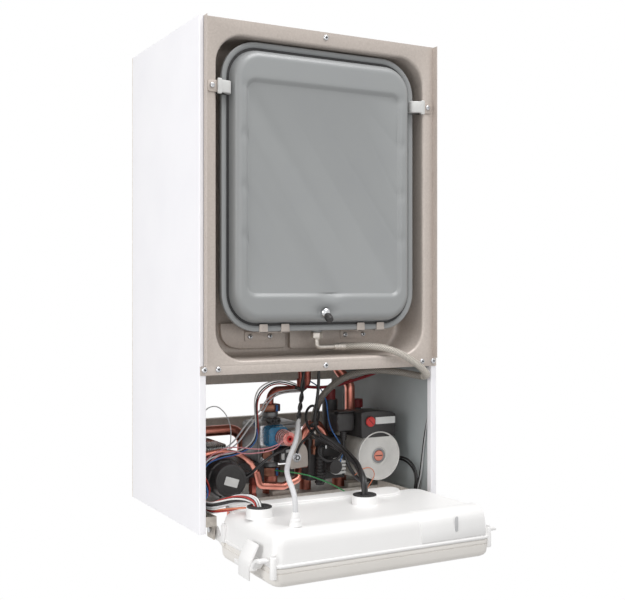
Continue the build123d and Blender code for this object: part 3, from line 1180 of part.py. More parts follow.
for name, x in knob_places:
    with BuildPart() as control_knob:
        upright(x, KNOB_DEPTH, (BOX_BOTTOM - KNOB_HEIGHT, BOX_BOTTOM - SEAT), KNOB_RADIUS)
        fillet(control_knob.edges().group_by(Axis.Z)[0], 1.5)
        rib = (BOX_BOTTOM - KNOB_HEIGHT - 2 * SHEET, BOX_BOTTOM - KNOB_HEIGHT + 2 * SHEET)
        block((x - 2, x + 2), (KNOB_DEPTH - 12, KNOB_DEPTH + 15), rib)
        upright(x, KNOB_DEPTH, (BOX_BOTTOM - 2, BOX_BOTTOM + BOX_WALL + 2), SPINDLE)
    control_knob.part.label = name
    export_step(control_knob.part, f"parts/{name}.step")

with BuildPart() as gauge_needle:
    upright(GAUGE_X, KNOB_DEPTH, (gauge_face - 1.6, gauge_face - SEAT), SPINDLE)
    pointer = (KNOB_DEPTH - 4, KNOB_DEPTH + 15)
    block((GAUGE_X - 1, GAUGE_X + 1), pointer, (gauge_face - 1.6, gauge_face - 0.8))
gauge_needle.part.label = "gauge_needle"
export_step(gauge_needle.part, "parts/gauge_needle.step")

clip_outside = CASE_WIDTH / 2 - FRONT_FLANGE - 2 * SEAT
with BuildPart() as latch_clips:
    for side in (-1, 1):
        wall = side * (box_side - BASE_INSET)
        outer = side * clip_outside
        inner = side * (clip_outside - CLIP_SHEET)
        top = side * (box_side + 3)
        with BuildSketch(Plane.XZ.offset(CLIP_DEPTH)) as profile:
            with BuildLine():
                Polyline(
                    (outer, up(CLIP_FOOT)),
                    (inner, up(CLIP_FOOT - 1)),
                    (inner, up(BOX_SEAM - 4)),
                    (top, up(14)),
                    (top + side * CLIP_SHEET, up(16)),
                    (outer, up(BOX_SEAM)),
                    (outer, up(CLIP_FOOT)),
                )
            make_face()
        extrude(profile.sketch, amount=CLIP_WIDTH)
        strap = (CLIP_DEPTH + CLIP_WIDTH - 1, CLIP_DEPTH + 1.5 * CLIP_WIDTH)
        block((outer, inner), strap, (BOX_SEAM - 8, BOX_SEAM - 1))
        root = (strap[1] - 2 * CLIP_SHEET, strap[1])
        block((outer, wall), root, (BOX_SEAM - 8, BOX_SEAM - 1))
latch_clips.part.label = "latch_clips"
export_step(latch_clips.part, "parts/latch_clips.step")

# ======== Leads ========

grommet_top = collar_top + 2
left_route = [
    (LEFT_GROMMET_X, GROMMET_DEPTH, BOX_TOP),
    (LEFT_GROMMET_X, GROMMET_DEPTH, grommet_top + 9),
    (-149.0, 352.0, 65.0),
    (-160.0, 328.0, 60.0),
    (-171.0, 304.0, 48.0),
    (-179.0, 281.0, 37.0),
    (-180.0, 254.0, 34.0),
    (-172.0, 230.0, 38.0),
    (-160.0, 208.0, 40.0),
]
with BuildPart() as left_harness:
    lead(left_route, HARNESS_LEAD, "left harness")
left_harness.part.label = "left_harness"
export_step(left_harness.part, "parts/left_harness.step")

centre_route = [
    (RIGHT_GROMMET_X, GROMMET_DEPTH, BOX_TOP),
    (RIGHT_GROMMET_X, GROMMET_DEPTH, grommet_top + 12),
    (30.0, 347.0, 73.0),
    (43.0, 316.0, 76.0),
    (52.0, 287.0, 77.0),
    (53.0, 260.0, 82.0),
    (46.0, 238.0, 94.0),
    (33.0, 220.0, 108.0),
    (24.0, 208.0, 130.0),
    (22.0, 202.0, 158.0),
    (24.0, 200.0, 188.0),
    (24.0, 200.0, CHAMBER_BOTTOM),
]
with BuildPart() as centre_harness:
    lead(centre_route, THICK_LEAD, "centre harness")
centre_harness.part.label = "centre_harness"
export_step(centre_harness.part, "parts/centre_harness.step")

mains_route = [
    (GLAND_X, GLAND_DEPTH, BOX_TOP),
    (GLAND_X, GLAND_DEPTH, 66.0),
    (-128.0, 424.0, 78.0),
    (-123.0, 396.0, 86.0),
    (-110.0, 362.0, 90.0),
    (-92.0, 330.0, 92.0),
    (-71.0, 302.0, 93.0),
    (-50.0, 276.0, 98.0),
    (-31.0, 254.0, 110.0),
    (-18.0, 236.0, 130.0),
    (-7.0, 220.0, 156.0),
    (2.0, 206.0, 188.0),
    (2.0, 206.0, CHAMBER_BOTTOM),
]
with BuildPart() as mains_lead:
    lead(mains_route, MAINS_LEAD, "mains lead")
mains_lead.part.label = "mains_lead"
export_step(mains_lead.part, "parts/mains_lead.step")

pump_route = [
    (lead_x, lead_depth, relief_end),
    (lead_x, lead_depth, relief_end - 18),
    (91.0, 205.0, 58.0),
    (103.0, 210.0, 38.0),
    (124.0, 202.0, 27.0),
    (146.0, 184.0, 29.0),
    (160.0, 158.0, 28.0),
    (160.0, 158.0, PLATE_HEIGHT + FRAME_SHEET),
]
with BuildPart() as pump_lead:
    lead(pump_route, PUMP_LEAD, "pump lead")
pump_lead.part.label = "pump_lead"
export_step(pump_lead.part, "parts/pump_lead.step")
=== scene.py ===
from math import cos, pi, radians, sin

import bmesh
import bpy
from mathutils import Matrix, Vector


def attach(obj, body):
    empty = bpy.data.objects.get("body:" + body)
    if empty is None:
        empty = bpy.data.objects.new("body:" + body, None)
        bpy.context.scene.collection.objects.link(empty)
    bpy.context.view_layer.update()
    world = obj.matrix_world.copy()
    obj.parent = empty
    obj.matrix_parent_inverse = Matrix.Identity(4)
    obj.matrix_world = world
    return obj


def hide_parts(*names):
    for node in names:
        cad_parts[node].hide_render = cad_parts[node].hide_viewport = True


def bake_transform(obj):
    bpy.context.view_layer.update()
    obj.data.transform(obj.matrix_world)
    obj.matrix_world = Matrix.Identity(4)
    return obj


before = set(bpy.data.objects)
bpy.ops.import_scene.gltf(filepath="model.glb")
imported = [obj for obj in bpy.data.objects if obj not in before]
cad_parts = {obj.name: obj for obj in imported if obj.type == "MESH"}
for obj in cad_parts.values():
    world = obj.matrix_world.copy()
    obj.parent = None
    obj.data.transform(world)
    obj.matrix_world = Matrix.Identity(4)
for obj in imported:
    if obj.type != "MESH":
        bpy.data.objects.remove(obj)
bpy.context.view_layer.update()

# A combi boiler with its front panel off and its control box folded down.
# Places are x, depth in front of the wall and height above the case's bottom edge, all in millimetres.
HANGER_HEIGHT = 660
CASE_HEIGHT = 720
CASE_DEPTH = 293
COVER_FRONT = 294
# An edge that turns more than this many degrees stays crisp, and one over this many radians can be softened.
CRISP = 38
HARD = 0.6
FORWARD = (0, -1, 0)
UP = (0, 0, 1)
DOWN = (0, 0, -1)


def at(x, depth, height):
    """A place in the boiler as a point in metres."""
    return Vector((x, -depth, height - HANGER_HEIGHT)) / 1000


def linked(name, data):
    """A new object in the scene, made of some data."""
    made = bpy.data.objects.new(name, data)
    bpy.context.scene.collection.objects.link(made)
    return made


# ======== Camera ========

camera = linked("camera", bpy.data.cameras.new("camera"))
camera.location = (-0.7138, -1.5712, -0.3234)
camera.rotation_euler = (radians(90), 0, radians(-28.43))
camera.data.lens = 57.01
camera.data.sensor_width = 36
camera.data.shift_y = -0.0133
bpy.context.scene.camera = camera

# ======== Finishes ========


def coloured(code):
    """A colour written as six hex digits, as the linear colour that a shader takes."""
    parts = [int(code[start:start + 2], 16) / 255 for start in (0, 2, 4)]
    return (*[part / 12.92 if part <= 0.04045 else ((part + 0.055) / 1.055) ** 2.4 for part in parts], 1)


def add(tree, kind, settings=(), links=()):
    """Adds a shader node, sets its sockets and options, and links its inputs."""
    made = tree.nodes.new("ShaderNode" + kind)
    for name, value in dict(settings).items():
        if isinstance(name, int) or name in made.inputs:
            made.inputs[name].default_value = value
        else:
            setattr(made, name, value)
    for name, output in dict(links).items():
        tree.links.new(output, made.inputs[name])
    return made


def maths(tree, operation, *values):
    """One sum over numbers and the outputs of other nodes, as an output."""
    made = add(tree, "Math", {"operation": operation})
    for number, value in enumerate(values):
        if isinstance(value, (int, float)):
            made.inputs[number].default_value = value
        else:
            tree.links.new(value, made.inputs[number])
    return made.outputs[0]


def covered(material, colour, bump):
    """Gives a material the colour of a mixing node and the relief of a bump node."""
    inputs = material.node_tree.nodes["Principled BSDF"].inputs
    material.node_tree.links.new(colour.outputs[2], inputs["Base Color"])
    material.node_tree.links.new(bump.outputs[0], inputs["Normal"])
    return material


def finish(name, light, dark, patch, roughness, grain, relief, metallic=0, stretch=(1, 1, 1), cells=False):
    """A material that drifts between two colours over patches of a size, with a grain of a size and a relief."""
    material = bpy.data.materials.new(name)
    material.use_nodes = True
    tree = material.node_tree
    shader = tree.nodes["Principled BSDF"]
    shader.inputs["Metallic"].default_value = metallic
    place = add(tree, "TexCoord")
    spot = {"Vector": add(tree, "Mapping", {"Scale": stretch}, {"Vector": place.outputs["Object"]}).outputs[0]}
    if cells:
        patches, spread = add(tree, "TexVoronoi", {"Scale": 1000 / patch}, spot), 0.5
    else:
        patches, spread = add(tree, "TexNoise", {"Scale": 1000 / patch, "Detail": 4.0}, spot), 0.25
    amount = add(tree, "MapRange", {1: 0.5 - spread, 2: 0.5 + spread}, {0: patches.outputs["Color"]})
    colour = add(tree, "Mix", {"data_type": "RGBA", 6: coloured(light), 7: coloured(dark)}, {0: amount.outputs[0]})
    gloss = add(tree, "MapRange", {3: roughness[0], 4: roughness[1]}, {0: amount.outputs[0]})
    fine = add(tree, "TexNoise", {"Scale": 1000 / grain, "Detail": 2.0}, spot)
    bump = add(tree, "Bump", {"Strength": 1.0, "Distance": relief / 1000}, {"Height": fine.outputs[0]})
    tree.links.new(gloss.outputs[0], shader.inputs["Roughness"])
    return covered(material, colour, bump)


# Powder coat on steel: an even satin white with a faint orange peel.
powder_coat = finish("white_powder_coat", "F9F8FB", "F3F2F6", 90, (0.30, 0.36), 1.6, 0.02)
# Skin-passed galvanised sheet: a warm, even satin grey whose rolled-out spangles hardly show.
galvanised = finish("galvanised_sheet", "C4BAB2", "BAB0A8", 2.5, (0.38, 0.46), 0.7, 0.012, 0.2, cells=True)
# The same sheet, aged to a chalky pale grey on the chamber's box and the frame behind the pipes.
aged_zinc = finish("aged_galvanised_sheet", "D2CBC2", "BFB8AF", 4, (0.5, 0.6), 0.8, 0.015, 0.05, cells=True)
# Galvanised sheet at the back, against the wall, painted near white and chalky: painted light, for the light that falls
# into the bay.
painted_light_zinc = finish("painted_light_galvanised_sheet", "F0EAE2", "E2DCD3", 4, (0.5, 0.6), 0.8, 0.015, cells=True)
# Satin tank paint over a pressed steel shell, with a slight peel.
tank_paint = finish("grey_tank_paint", "989A9A", "949697", 70, (0.30, 0.33), 1.4, 0.006)
# Drawn copper tube: bright and pink where it was handled, browner where it has oxidised.
copper = finish("drawn_copper", "F0A795", "C06E5F", 26, (0.22, 0.42), 1.2, 0.01, 1)
# Copper that heat has darkened to red-brown.
burnt_copper = finish("darkened_copper", "BE7468", "86453D", 18, (0.26, 0.48), 1.0, 0.01, 1)
# Turned and milled brass, browned by heat and flux.
brass = finish("dull_brass", "A9765F", "7C5145", 10, (0.3, 0.45), 0.6, 0.01, 0.8)
# Zinc-plated screws: bluish and bright.
zinc = finish("zinc_plate", "D5D6D8", "B9BABD", 3, (0.22, 0.34), 0.4, 0.005, 1)
# Rolled stainless steel with fine lines along its length.
stainless = finish("rolled_stainless", "CFCFCE", "BDBDBC", 12, (0.2, 0.34), 0.8, 0.008, 1, stretch=(1, 1, 8))
# The motor's end plate: aluminium sheet under a thick satin lacquer, so it looks pale grey, not like a mirror.
brushed_aluminium = finish("brushed_aluminium", "E2E0DC", "D6D4D0", 10, (0.40, 0.5), 0.7, 0.01, 0.3)
# Die-cast aluminium, sand-matt from its mould.
die_cast = finish("die_cast_aluminium", "A9AAAB", "8B8C8E", 8, (0.36, 0.5), 0.9, 0.05, 0.35)
# Grey cast iron under a thin dark primer.
cast_iron = finish("cast_iron", "4C4B4C", "363536", 10, (0.5, 0.66), 1.1, 0.12, 0.2)
# The motor's cast casing, painted a pale warm grey.
motor_paint = finish("motor_casing_paint", "C3BFB8", "ABA7A0", 14, (0.36, 0.5), 1.0, 0.04, 0.2)
# Ceramic fibre board: chalky, with short fibres.
fibre_board = finish("ceramic_fibre_board", "DED8CA", "C9C2B2", 5, (0.85, 0.95), 0.7, 0.25)
# Glass-filled nylon: nearly black, matt, with a fine moulded grain.
black_nylon = finish("black_nylon", "3B3939", "2C2A2A", 12, (0.38, 0.52), 0.7, 0.03)
# Moulded ABS: clean white with a soft gloss.
white_abs = finish("white_abs", "EFEEED", "EBEAE9", 80, (0.34, 0.40), 2.5, 0.006)
# Cream ABS of the control box's tray, moulded like the cover but warmer in tone.
cream_abs = finish("cream_abs", "EAE6E1", "E4E0DA", 80, (0.36, 0.42), 2.5, 0.006)
# Pale grey nylon clips and plugs.
white_nylon = finish("natural_nylon", "D6D6D4", "C9C9C7", 10, (0.3, 0.42), 0.8, 0.02)
# Grey ABS knobs.
grey_abs = finish("grey_abs", "C9C9CA", "BCBCBE", 20, (0.3, 0.4), 1.0, 0.01)
# Blue potting resin on the gas valve's operator, uneven and half gloss.
blue_resin = finish("blue_potting_resin", "3F97C6", "1B5E86", 5, (0.14, 0.4), 2.2, 0.6)
# Red moulded knobs.
red_abs = finish("red_abs", "D23A36", "B92B2B", 8, (0.28, 0.4), 0.8, 0.01)
# A dark red cap, faded and dusty.
dark_red = finish("dark_red_nylon", "8E2A2C", "6E1F22", 8, (0.45, 0.6), 0.8, 0.03)
# Enamelled winding wire: lacquered copper, orange-pink.
winding = finish("enamelled_wire", "E39A92", "C5736C", 4, (0.2, 0.34), 0.6, 0.02, 0.6)
# Solder mask over glass laminate.
solder_mask = finish("green_solder_mask", "1F6B3A", "174F2C", 12, (0.2, 0.32), 1.0, 0.01)
# A flat grey on the inner face of the side panels, slightly blue and darker than their white outside.
inner_face_grey = finish("inner_face_grey_sheet", "B4BABB", "AAB0B1", 40, (0.5, 0.6), 1.2, 0.02)
# Nickel-plated brass on the hose's ends: a pale, warm silver.
nickel = finish("nickel_plate", "D6D0C8", "BDB6AE", 4, (0.26, 0.38), 0.5, 0.006, 0.6)
# Black rubber and cable sheath: matt, with a faint bloom.
rubber = finish("black_rubber", "2B2A2B", "1F1E1F", 9, (0.5, 0.66), 0.6, 0.02)
# Grey PVC cable sheath.
grey_pvc = finish("grey_pvc", "D9D9DA", "C6C6C8", 14, (0.35, 0.46), 0.8, 0.01)
# Black cable sheath, smoother than rubber, with a soft highlight.
black_pvc = finish("black_pvc", "2D2B2C", "201F20", 12, (0.32, 0.46), 0.7, 0.01)
# Single wires' PVC in the colours of the loom.
WIRE_SHEATHS = {
    "white_pvc": ("EAEAE8", "DADAD8"), "red_pvc": ("B5362F", "9C2B26"), "orange_pvc": ("E58D6C", "D07A58"),
    "pink_pvc": ("E6A0A8", "D48890"), "blue_pvc": ("3E74B8", "2F5F9C"), "green_pvc": ("3F9A58", "2F7F47"),
}
white_pvc, red_pvc, orange_pvc, pink_pvc, blue_pvc, green_pvc = [
    finish(name, light, dark, 14, (0.35, 0.46), 0.8, 0.01) for name, (light, dark) in WIRE_SHEATHS.items()
]


def braid(name, light, dark, strands, pitch):
    """Braided wire over a hose: two sets of strands wound opposite ways, read from the hose's own UV map."""
    material = finish(name, light, dark, 5, (0.34, 0.5), 0.5, 0.01, 0.4)
    tree = material.node_tree
    along = add(tree, "SeparateXYZ", links={0: add(tree, "UVMap").outputs[0]})
    turns = []
    for way in (-1, 1):
        run = maths(tree, "MULTIPLY", along.outputs[0], way * pitch)
        around = maths(tree, "MULTIPLY_ADD", along.outputs[1], strands, run)
        turns.append(maths(tree, "SINE", maths(tree, "MULTIPLY", around, 2 * pi)))
    woven = maths(tree, "MAXIMUM", *turns)
    bump = add(tree, "Bump", {"Strength": 1.0, "Distance": 0.0006}, {"Height": woven})
    shade = add(tree, "MapRange", {1: -0.4, 2: 1.0, 3: 1.0, 4: 0.0}, {0: woven})
    colour = add(tree, "Mix", {"data_type": "RGBA", 6: coloured(light), 7: coloured(dark)}, {0: shade.outputs[0]})
    return covered(material, colour, bump)


# Stainless wire braid, beige where it picks up the light.
steel_braid = braid("stainless_braid", "E6DFD5", "8A8379", 10, 70)
# Further in, the same braid painted darker: painted shade where the hose lies deeper in the bay.
shaded_braid = braid("painted_shade_braid", "B0A9A1", "57524D", 10, 90)
# The ignition lead's glass-fibre sleeve, soaked in dark red varnish.
red_braid = braid("varnished_sleeve", "B23A40", "661F25", 8, 60)

# ======== Shapes ========


def block(x, depth, height):
    """A box between two values each of x, depth and height."""
    shape = bmesh.new()
    size = at(x[1] - x[0], depth[1] - depth[0], height[1] - height[0] + HANGER_HEIGHT)
    middle = at(sum(x) / 2, sum(depth) / 2, sum(height) / 2)
    scale = Matrix.Diagonal((*[abs(part) for part in size], 1))
    bmesh.ops.create_cube(shape, size=1, matrix=Matrix.Translation(middle) @ scale)
    return shape


def pushed(shape, step):
    """Extrudes the faces of a flat shape by a step."""
    made = bmesh.ops.extrude_face_region(shape, geom=shape.faces[:])["geom"]
    bmesh.ops.translate(shape, verts=[part for part in made if isinstance(part, bmesh.types.BMVert)], vec=step)


def next_ring(shape, edges):
    """Extrudes a ring of edges, and gives the new ring's points and its edges."""
    made = bmesh.ops.extrude_edge_only(shape, edges=edges)["geom"]
    points = [part for part in made if isinstance(part, bmesh.types.BMVert)]
    return points, [part for part in made if isinstance(part, bmesh.types.BMEdge)
                    and all(end in points for end in part.verts)]


def aimed(shape, start, axis):
    """Turns a shape that stands on the origin to point along an axis from a start."""
    turn = Vector(axis).to_track_quat("Z", "Y").to_matrix().to_4x4()
    bmesh.ops.transform(shape, matrix=Matrix.Translation(start) @ turn, verts=shape.verts)
    return shape


def turned(start, axis, profile, sides=32):
    """A shape turned round an axis from a start. Its profile is pairs of distance along the axis and radius."""
    shape = bmesh.new()
    corners = [shape.verts.new((radius / 1000, 0, along / 1000)) for along, radius in profile]
    edges = [shape.edges.new(pair) for pair in zip(corners, corners[1:])]
    bmesh.ops.spin(shape, geom=corners + edges, cent=(0, 0, 0), axis=(0, 0, 1), angle=2 * pi, steps=sides,
                   use_merge=True)
    bmesh.ops.remove_doubles(shape, verts=shape.verts, dist=1e-6)
    return aimed(shape, start, axis)


def disc(radius, thick):
    """The profile of a flat disc."""
    return [(0, 0), (0, radius), (thick, radius), (thick, 0)]


def faced(x, depth, height, profile, sides=32):
    """A shape turned about an axis that points to the front."""
    return turned(at(x, depth, height), FORWARD, profile, sides)


def upright(x, depth, height, profile, sides=32):
    """A shape turned about an axis that points up."""
    return turned(at(x, depth, height), UP, profile, sides)


def hanging(x, depth, height, profile, sides=32):
    """A shape turned about an axis that points down."""
    return turned(at(x, depth, height), DOWN, profile, sides)


def slab(corners, thickness, rounds=(), steps=4):
    """An outline of places pushed along a thickness, with some corners, or all, rounded by a radius."""
    if isinstance(rounds, (int, float)):
        rounds = {corner: rounds for corner in range(len(corners))}
    shape = bmesh.new()
    points = [shape.verts.new(at(*corner)) for corner in corners]
    shape.faces.new(points)
    for corner, radius in dict(rounds).items():
        bmesh.ops.bevel(shape, geom=[points[corner]], offset=radius / 1000, segments=steps, profile=0.5,
                        affect="VERTICES", material=-1)
    pushed(shape, at(thickness[0], thickness[1], thickness[2] + HANGER_HEIGHT))
    return shape


def plate(outline, depth, thick, rounds=(), steps=4, side=1):
    """An upright sheet: an outline of x and height at a depth, grown forward."""
    return slab([(side * x, depth, height) for x, height in outline], (0, thick, 0), rounds, steps)


def level(outline, height, thick, rounds=(), steps=4, side=1):
    """A level sheet: an outline of x and depth at a height, grown upwards."""
    return slab([(side * x, depth, height) for x, depth in outline], (0, 0, thick), rounds, steps)


def fin(outline, x, thick, rounds=(), steps=4):
    """A sheet seen edge on: an outline of depth and height at an x, grown sideways."""
    return slab([(x, depth, height) for depth, height in outline], (thick, 0, 0), rounds, steps)


# What an outline's width and height run along, for each way that it can face.
FACINGS = {"front": ((1, 0, 0), (0, 0, 1)), "up": ((1, 0, 0), (0, 1, 0)), "side": ((0, -1, 0), (0, 0, 1))}


def lofted(facing, sections, steps=8):
    """A shape drawn from outline to outline. Each has its middle, its width and height, and a corner radius."""
    shape = bmesh.new()
    aside, above = [Vector(way) for way in FACINGS[facing]]
    ring = bmesh.ops.create_circle(shape, segments=4 * steps, radius=1)["verts"]
    corners = {point: divmod(number, steps) for number, point in enumerate(ring)}
    rim = shape.edges[:]
    for number, (middle, size, radius) in enumerate(sections):
        if number:
            ring, rim = next_ring(shape, rim)
            for point in ring:
                ends = [edge.other_vert(point) for edge in point.link_edges]
                corners[point] = corners[next(end for end in ends if end in corners and end not in ring)]
        for point in ring:
            quarter, step = corners[point]
            angle = radians(90 * (quarter + step / (steps - 1)))
            right = 1 if quarter in (0, 3) else -1
            high = 1 if quarter in (0, 1) else -1
            x = right * (size[0] / 2 - radius) + radius * cos(angle)
            y = high * (size[1] / 2 - radius) + radius * sin(angle)
            point.co = at(*middle) + (aside * x + above * y) / 1000
        if number in (0, len(sections) - 1):
            bmesh.ops.contextual_create(shape, geom=rim)
    return shape


def boss(x, height, size, radius, sections):
    """A block drawn forward, from pairs of a depth and how much less than its size it measures there."""
    return lofted("front", [((x, depth, height), (size[0] - less, size[1] - less), radius) for depth, less in sections])


def seated(piece, body, slot, *nodes):
    """Lets a piece ride on a body in place of CAD nodes. The material slot it is given is not used."""
    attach(piece, body)
    if nodes:
        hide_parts(*nodes)


class Piece:
    """One piece of the boiler, gathered from shapes that each have a finish."""

    def __init__(self, name):
        self.name = name
        self.whole = bmesh.new()
        self.finishes = []

    def add(self, shape, material, soften=0.0, segments=2):
        """Joins a shape to the piece, its hard edges softened by a radius."""
        bmesh.ops.recalc_face_normals(shape, faces=shape.faces)
        if soften:
            hard = [edge for edge in shape.edges if len(edge.link_faces) == 2 and edge.calc_face_angle() > HARD]
            bmesh.ops.bevel(shape, geom=hard, offset=soften / 1000, segments=segments, profile=0.5,
                            affect="EDGES", material=-1, clamp_overlap=True)
        if material not in self.finishes:
            self.finishes.append(material)
        for face in shape.faces:
            face.material_index = self.finishes.index(material)
            face.smooth = True
        loose = bpy.data.meshes.new("loose")
        shape.to_mesh(loose)
        shape.free()
        self.whole.from_mesh(loose)
        bpy.data.meshes.remove(loose)

    def done(self, body, slot, *nodes):
        """Makes the piece an object that rides on a body in place of CAD nodes."""
        mesh = bpy.data.meshes.new(self.name)
        self.whole.to_mesh(mesh)
        self.whole.free()
        mesh.set_sharp_from_angle(angle=radians(CRISP))
        for material in self.finishes:
            mesh.materials.append(material)
        seated(linked(self.name, mesh), body, slot, *nodes)


def cord_curve(name, diameter, roundness):
    """A round, capped curve with nothing on it yet."""
    curve = bpy.data.curves.new(name, "CURVE")
    curve.dimensions = "3D"
    curve.bevel_depth = diameter / 2000
    curve.bevel_resolution = roundness
    curve.use_fill_caps = True
    return curve


def drawn(curve, points, resolution):
    """Adds a smooth spline near a row of points to a curve."""
    spline = curve.splines.new("NURBS")
    spline.points.add(len(points) - 1)
    for knot, point in zip(spline.points, points):
        knot.co = (*point, 1)
    spline.order_u = 3
    spline.use_endpoint_u = True
    spline.resolution_u = resolution
    return spline


def line(name, route, diameter, material):
    """A round cord along a smooth curve through its route."""
    curve = cord_curve(name, diameter, 5)
    drawn(curve, [at(*place) for place in route], 10)
    if material:
        curve.materials.append(material)
    return linked(name, curve)


def mesh_of(cord):
    """The mesh that a cord makes, in place of the cord."""
    bpy.context.view_layer.update()
    mesh = bpy.data.meshes.new_from_object(cord.evaluated_get(bpy.context.evaluated_depsgraph_get()))
    bpy.data.objects.remove(cord)
    return mesh


def smooth(route):
    """The points of the smooth NURBS curve that a route of places makes."""
    mesh = mesh_of(line("bare", route, 0, None))
    points = [vertex.co.copy() for vertex in mesh.vertices]
    bpy.data.meshes.remove(mesh)
    return points


def wound(middle, distance, bearing, turns=0.0, spread=0.0):
    """The points of one strand that winds round a middle line, and stands further off halfway along it."""
    side = Vector((1, 0, 0))
    strand = []
    for number, point in enumerate(middle):
        ahead = middle[min(number + 1, len(middle) - 1)] - middle[max(number - 1, 0)]
        side = (side - side.project(ahead)).normalized()
        above = ahead.normalized().cross(side)
        part = number / (len(middle) - 1)
        angle = radians(bearing) + 2 * pi * turns * part
        away = distance / 1000 * (1 + spread * sin(pi * part))
        strand.append(point + (side * cos(angle) + above * sin(angle)) * away)
    return strand


def strands(name, runs):
    """Round strands as one mesh. Each run has its points, its diameter and its finish."""
    curve = cord_curve(name, 1, 4)
    for points, diameter, material in runs:
        spline = drawn(curve, points, 2)
        for knot in spline.points:
            knot.radius = diameter
        if material.name not in curve.materials:
            curve.materials.append(material)
        spline.material_index = curve.materials.find(material.name)
    mesh = mesh_of(linked("made", curve))
    mesh.name = name
    return linked(name, mesh)


def run_length(points):
    return sum((a - b).length for a, b in zip(points, points[1:]))


def declared(route, path=None):
    """Measures the run of a lead that goes back into the boiler, along the smooth curve through its route, and keeps
    nothing.
    """
    run_length(path or smooth(route))


# ======== Leads and hose ========

LEFT_HARNESS = [
    (-143, 367, 35), (-143, 367, 52), (-150, 351, 57), (-160, 328, 53), (-170, 304, 43), (-178, 281, 35),
    (-180, 254, 34), (-172, 230, 38), (-160, 208, 40),
]
CENTRE_HARNESS = [
    (22.6, 367, 35), (22.4, 367, 62), (29, 348, 74), (42, 318, 79), (53, 288, 80), (55, 256, 90), (46, 235, 103),
    (30, 215, 114), (27, 204, 132), (33, 199, 158), (38, 198, 188), (38, 198, 221),
]
MAINS_LEAD = [
    (-126, 440, 35), (-126, 440, 66), (-124, 428, 80), (-118, 404, 88), (-106, 376, 91), (-91, 346, 91),
    (-75, 318, 91), (-58, 288, 94), (-39, 264, 103), (-24, 248, 117), (-14, 232, 137), (-4, 220, 158), (7, 208, 186),
    (9, 206, 221),
]
PUMP_LEAD = [
    (87, 196, 98), (87, 196, 80), (91, 205, 58), (103, 210, 38), (124, 202, 27), (146, 184, 29), (160, 158, 28),
    (160, 158, 10),
]
HOSE = [
    (49, 262, 253), (60, 264, 253.4), (80, 278, 254), (101, 295, 251.5), (124, 304, 243), (147, 306, 230),
    (166, 305, 217), (179, 300, 207), (180, 286, 203), (168, 274, 206), (150, 261, 210), (128, 245, 212.5),
    (110, 230, 211), (94, 212, 205), (80, 196, 195), (68, 178, 179), (60, 164, 159), (57, 154, 136), (58, 151, 118),
    (58, 151, 100),
]


def hinged_lead(name, node, route, runs):
    """A lead from the folded box into the casing, baked in place as one mesh."""
    piece = strands(name, runs)
    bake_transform(piece)
    if node:
        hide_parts(node)
    declared(route, path=smooth(route))


middle = smooth(LEFT_HARNESS)
wires = [(middle, 4.6, black_pvc)]
LOOM = (white_pvc, grey_pvc, black_pvc, white_pvc, red_pvc, grey_pvc, white_pvc, black_pvc)
for number, material in enumerate(LOOM):
    wires.append((wound(middle, 4, 45 * number, 0.6, 0.15), 2.5, material))
hinged_lead("left_harness_loom", "left_harness", LEFT_HARNESS, wires)

LOWER_HARNESS = [
    (-146, 367, 40), (-147, 365, 46), (-153, 350, 46), (-161, 328, 40), (-168, 304, 33), (-176, 282, 27),
    (-178, 254, 26), (-170, 232, 30), (-158, 208, 32),
]
lower = smooth(LOWER_HARNESS)
wires = [(wound(lower, 1.5, 120 * number, 1.5), 2.5, material)
         for number, material in enumerate((orange_pvc, white_pvc, red_pvc))]
hinged_lead("left_harness_lower_wires", None, LOWER_HARNESS, wires)

middle = smooth(CENTRE_HARNESS)
parting = len(middle) * 7 // 11
wires = [(wound(middle, 2.6, 90, 0.6, 0.25), 5, black_pvc)]
for bearing in (210, 330):
    wires.append((wound(middle, 2.6, bearing, 0.6, 0.25)[:parting], 5, black_pvc))
hinged_lead("centre_harness_loom", "centre_harness", CENTRE_HARNESS, wires)

middle = smooth(MAINS_LEAD)
parting = len(middle) * 21 // 26
wires = [(middle[:parting], 7.2, grey_pvc)]
for bearing in (0, 180):
    wires.append((wound(middle, 1.8, bearing, 12)[parting - 4:], 4, black_pvc))
hinged_lead("mains_cable", "mains_lead", MAINS_LEAD, wires)

pump_cable = line("pump_cable", PUMP_LEAD, 6, black_pvc)
seated(pump_cable, "casing", "black_rubber", "pump_lead")
declared(PUMP_LEAD)

middle = smooth(HOSE)
# The hose's far part takes the darker braid: painted shade.
parting = len(middle) * 8 // 19
hose = strands("vessel_hose", [(middle[:parting], 11, steel_braid), (middle[parting - 1:], 11, shaded_braid)])
seated(hose, "casing", "black_rubber", "expansion_hose")
declared(HOSE, middle)

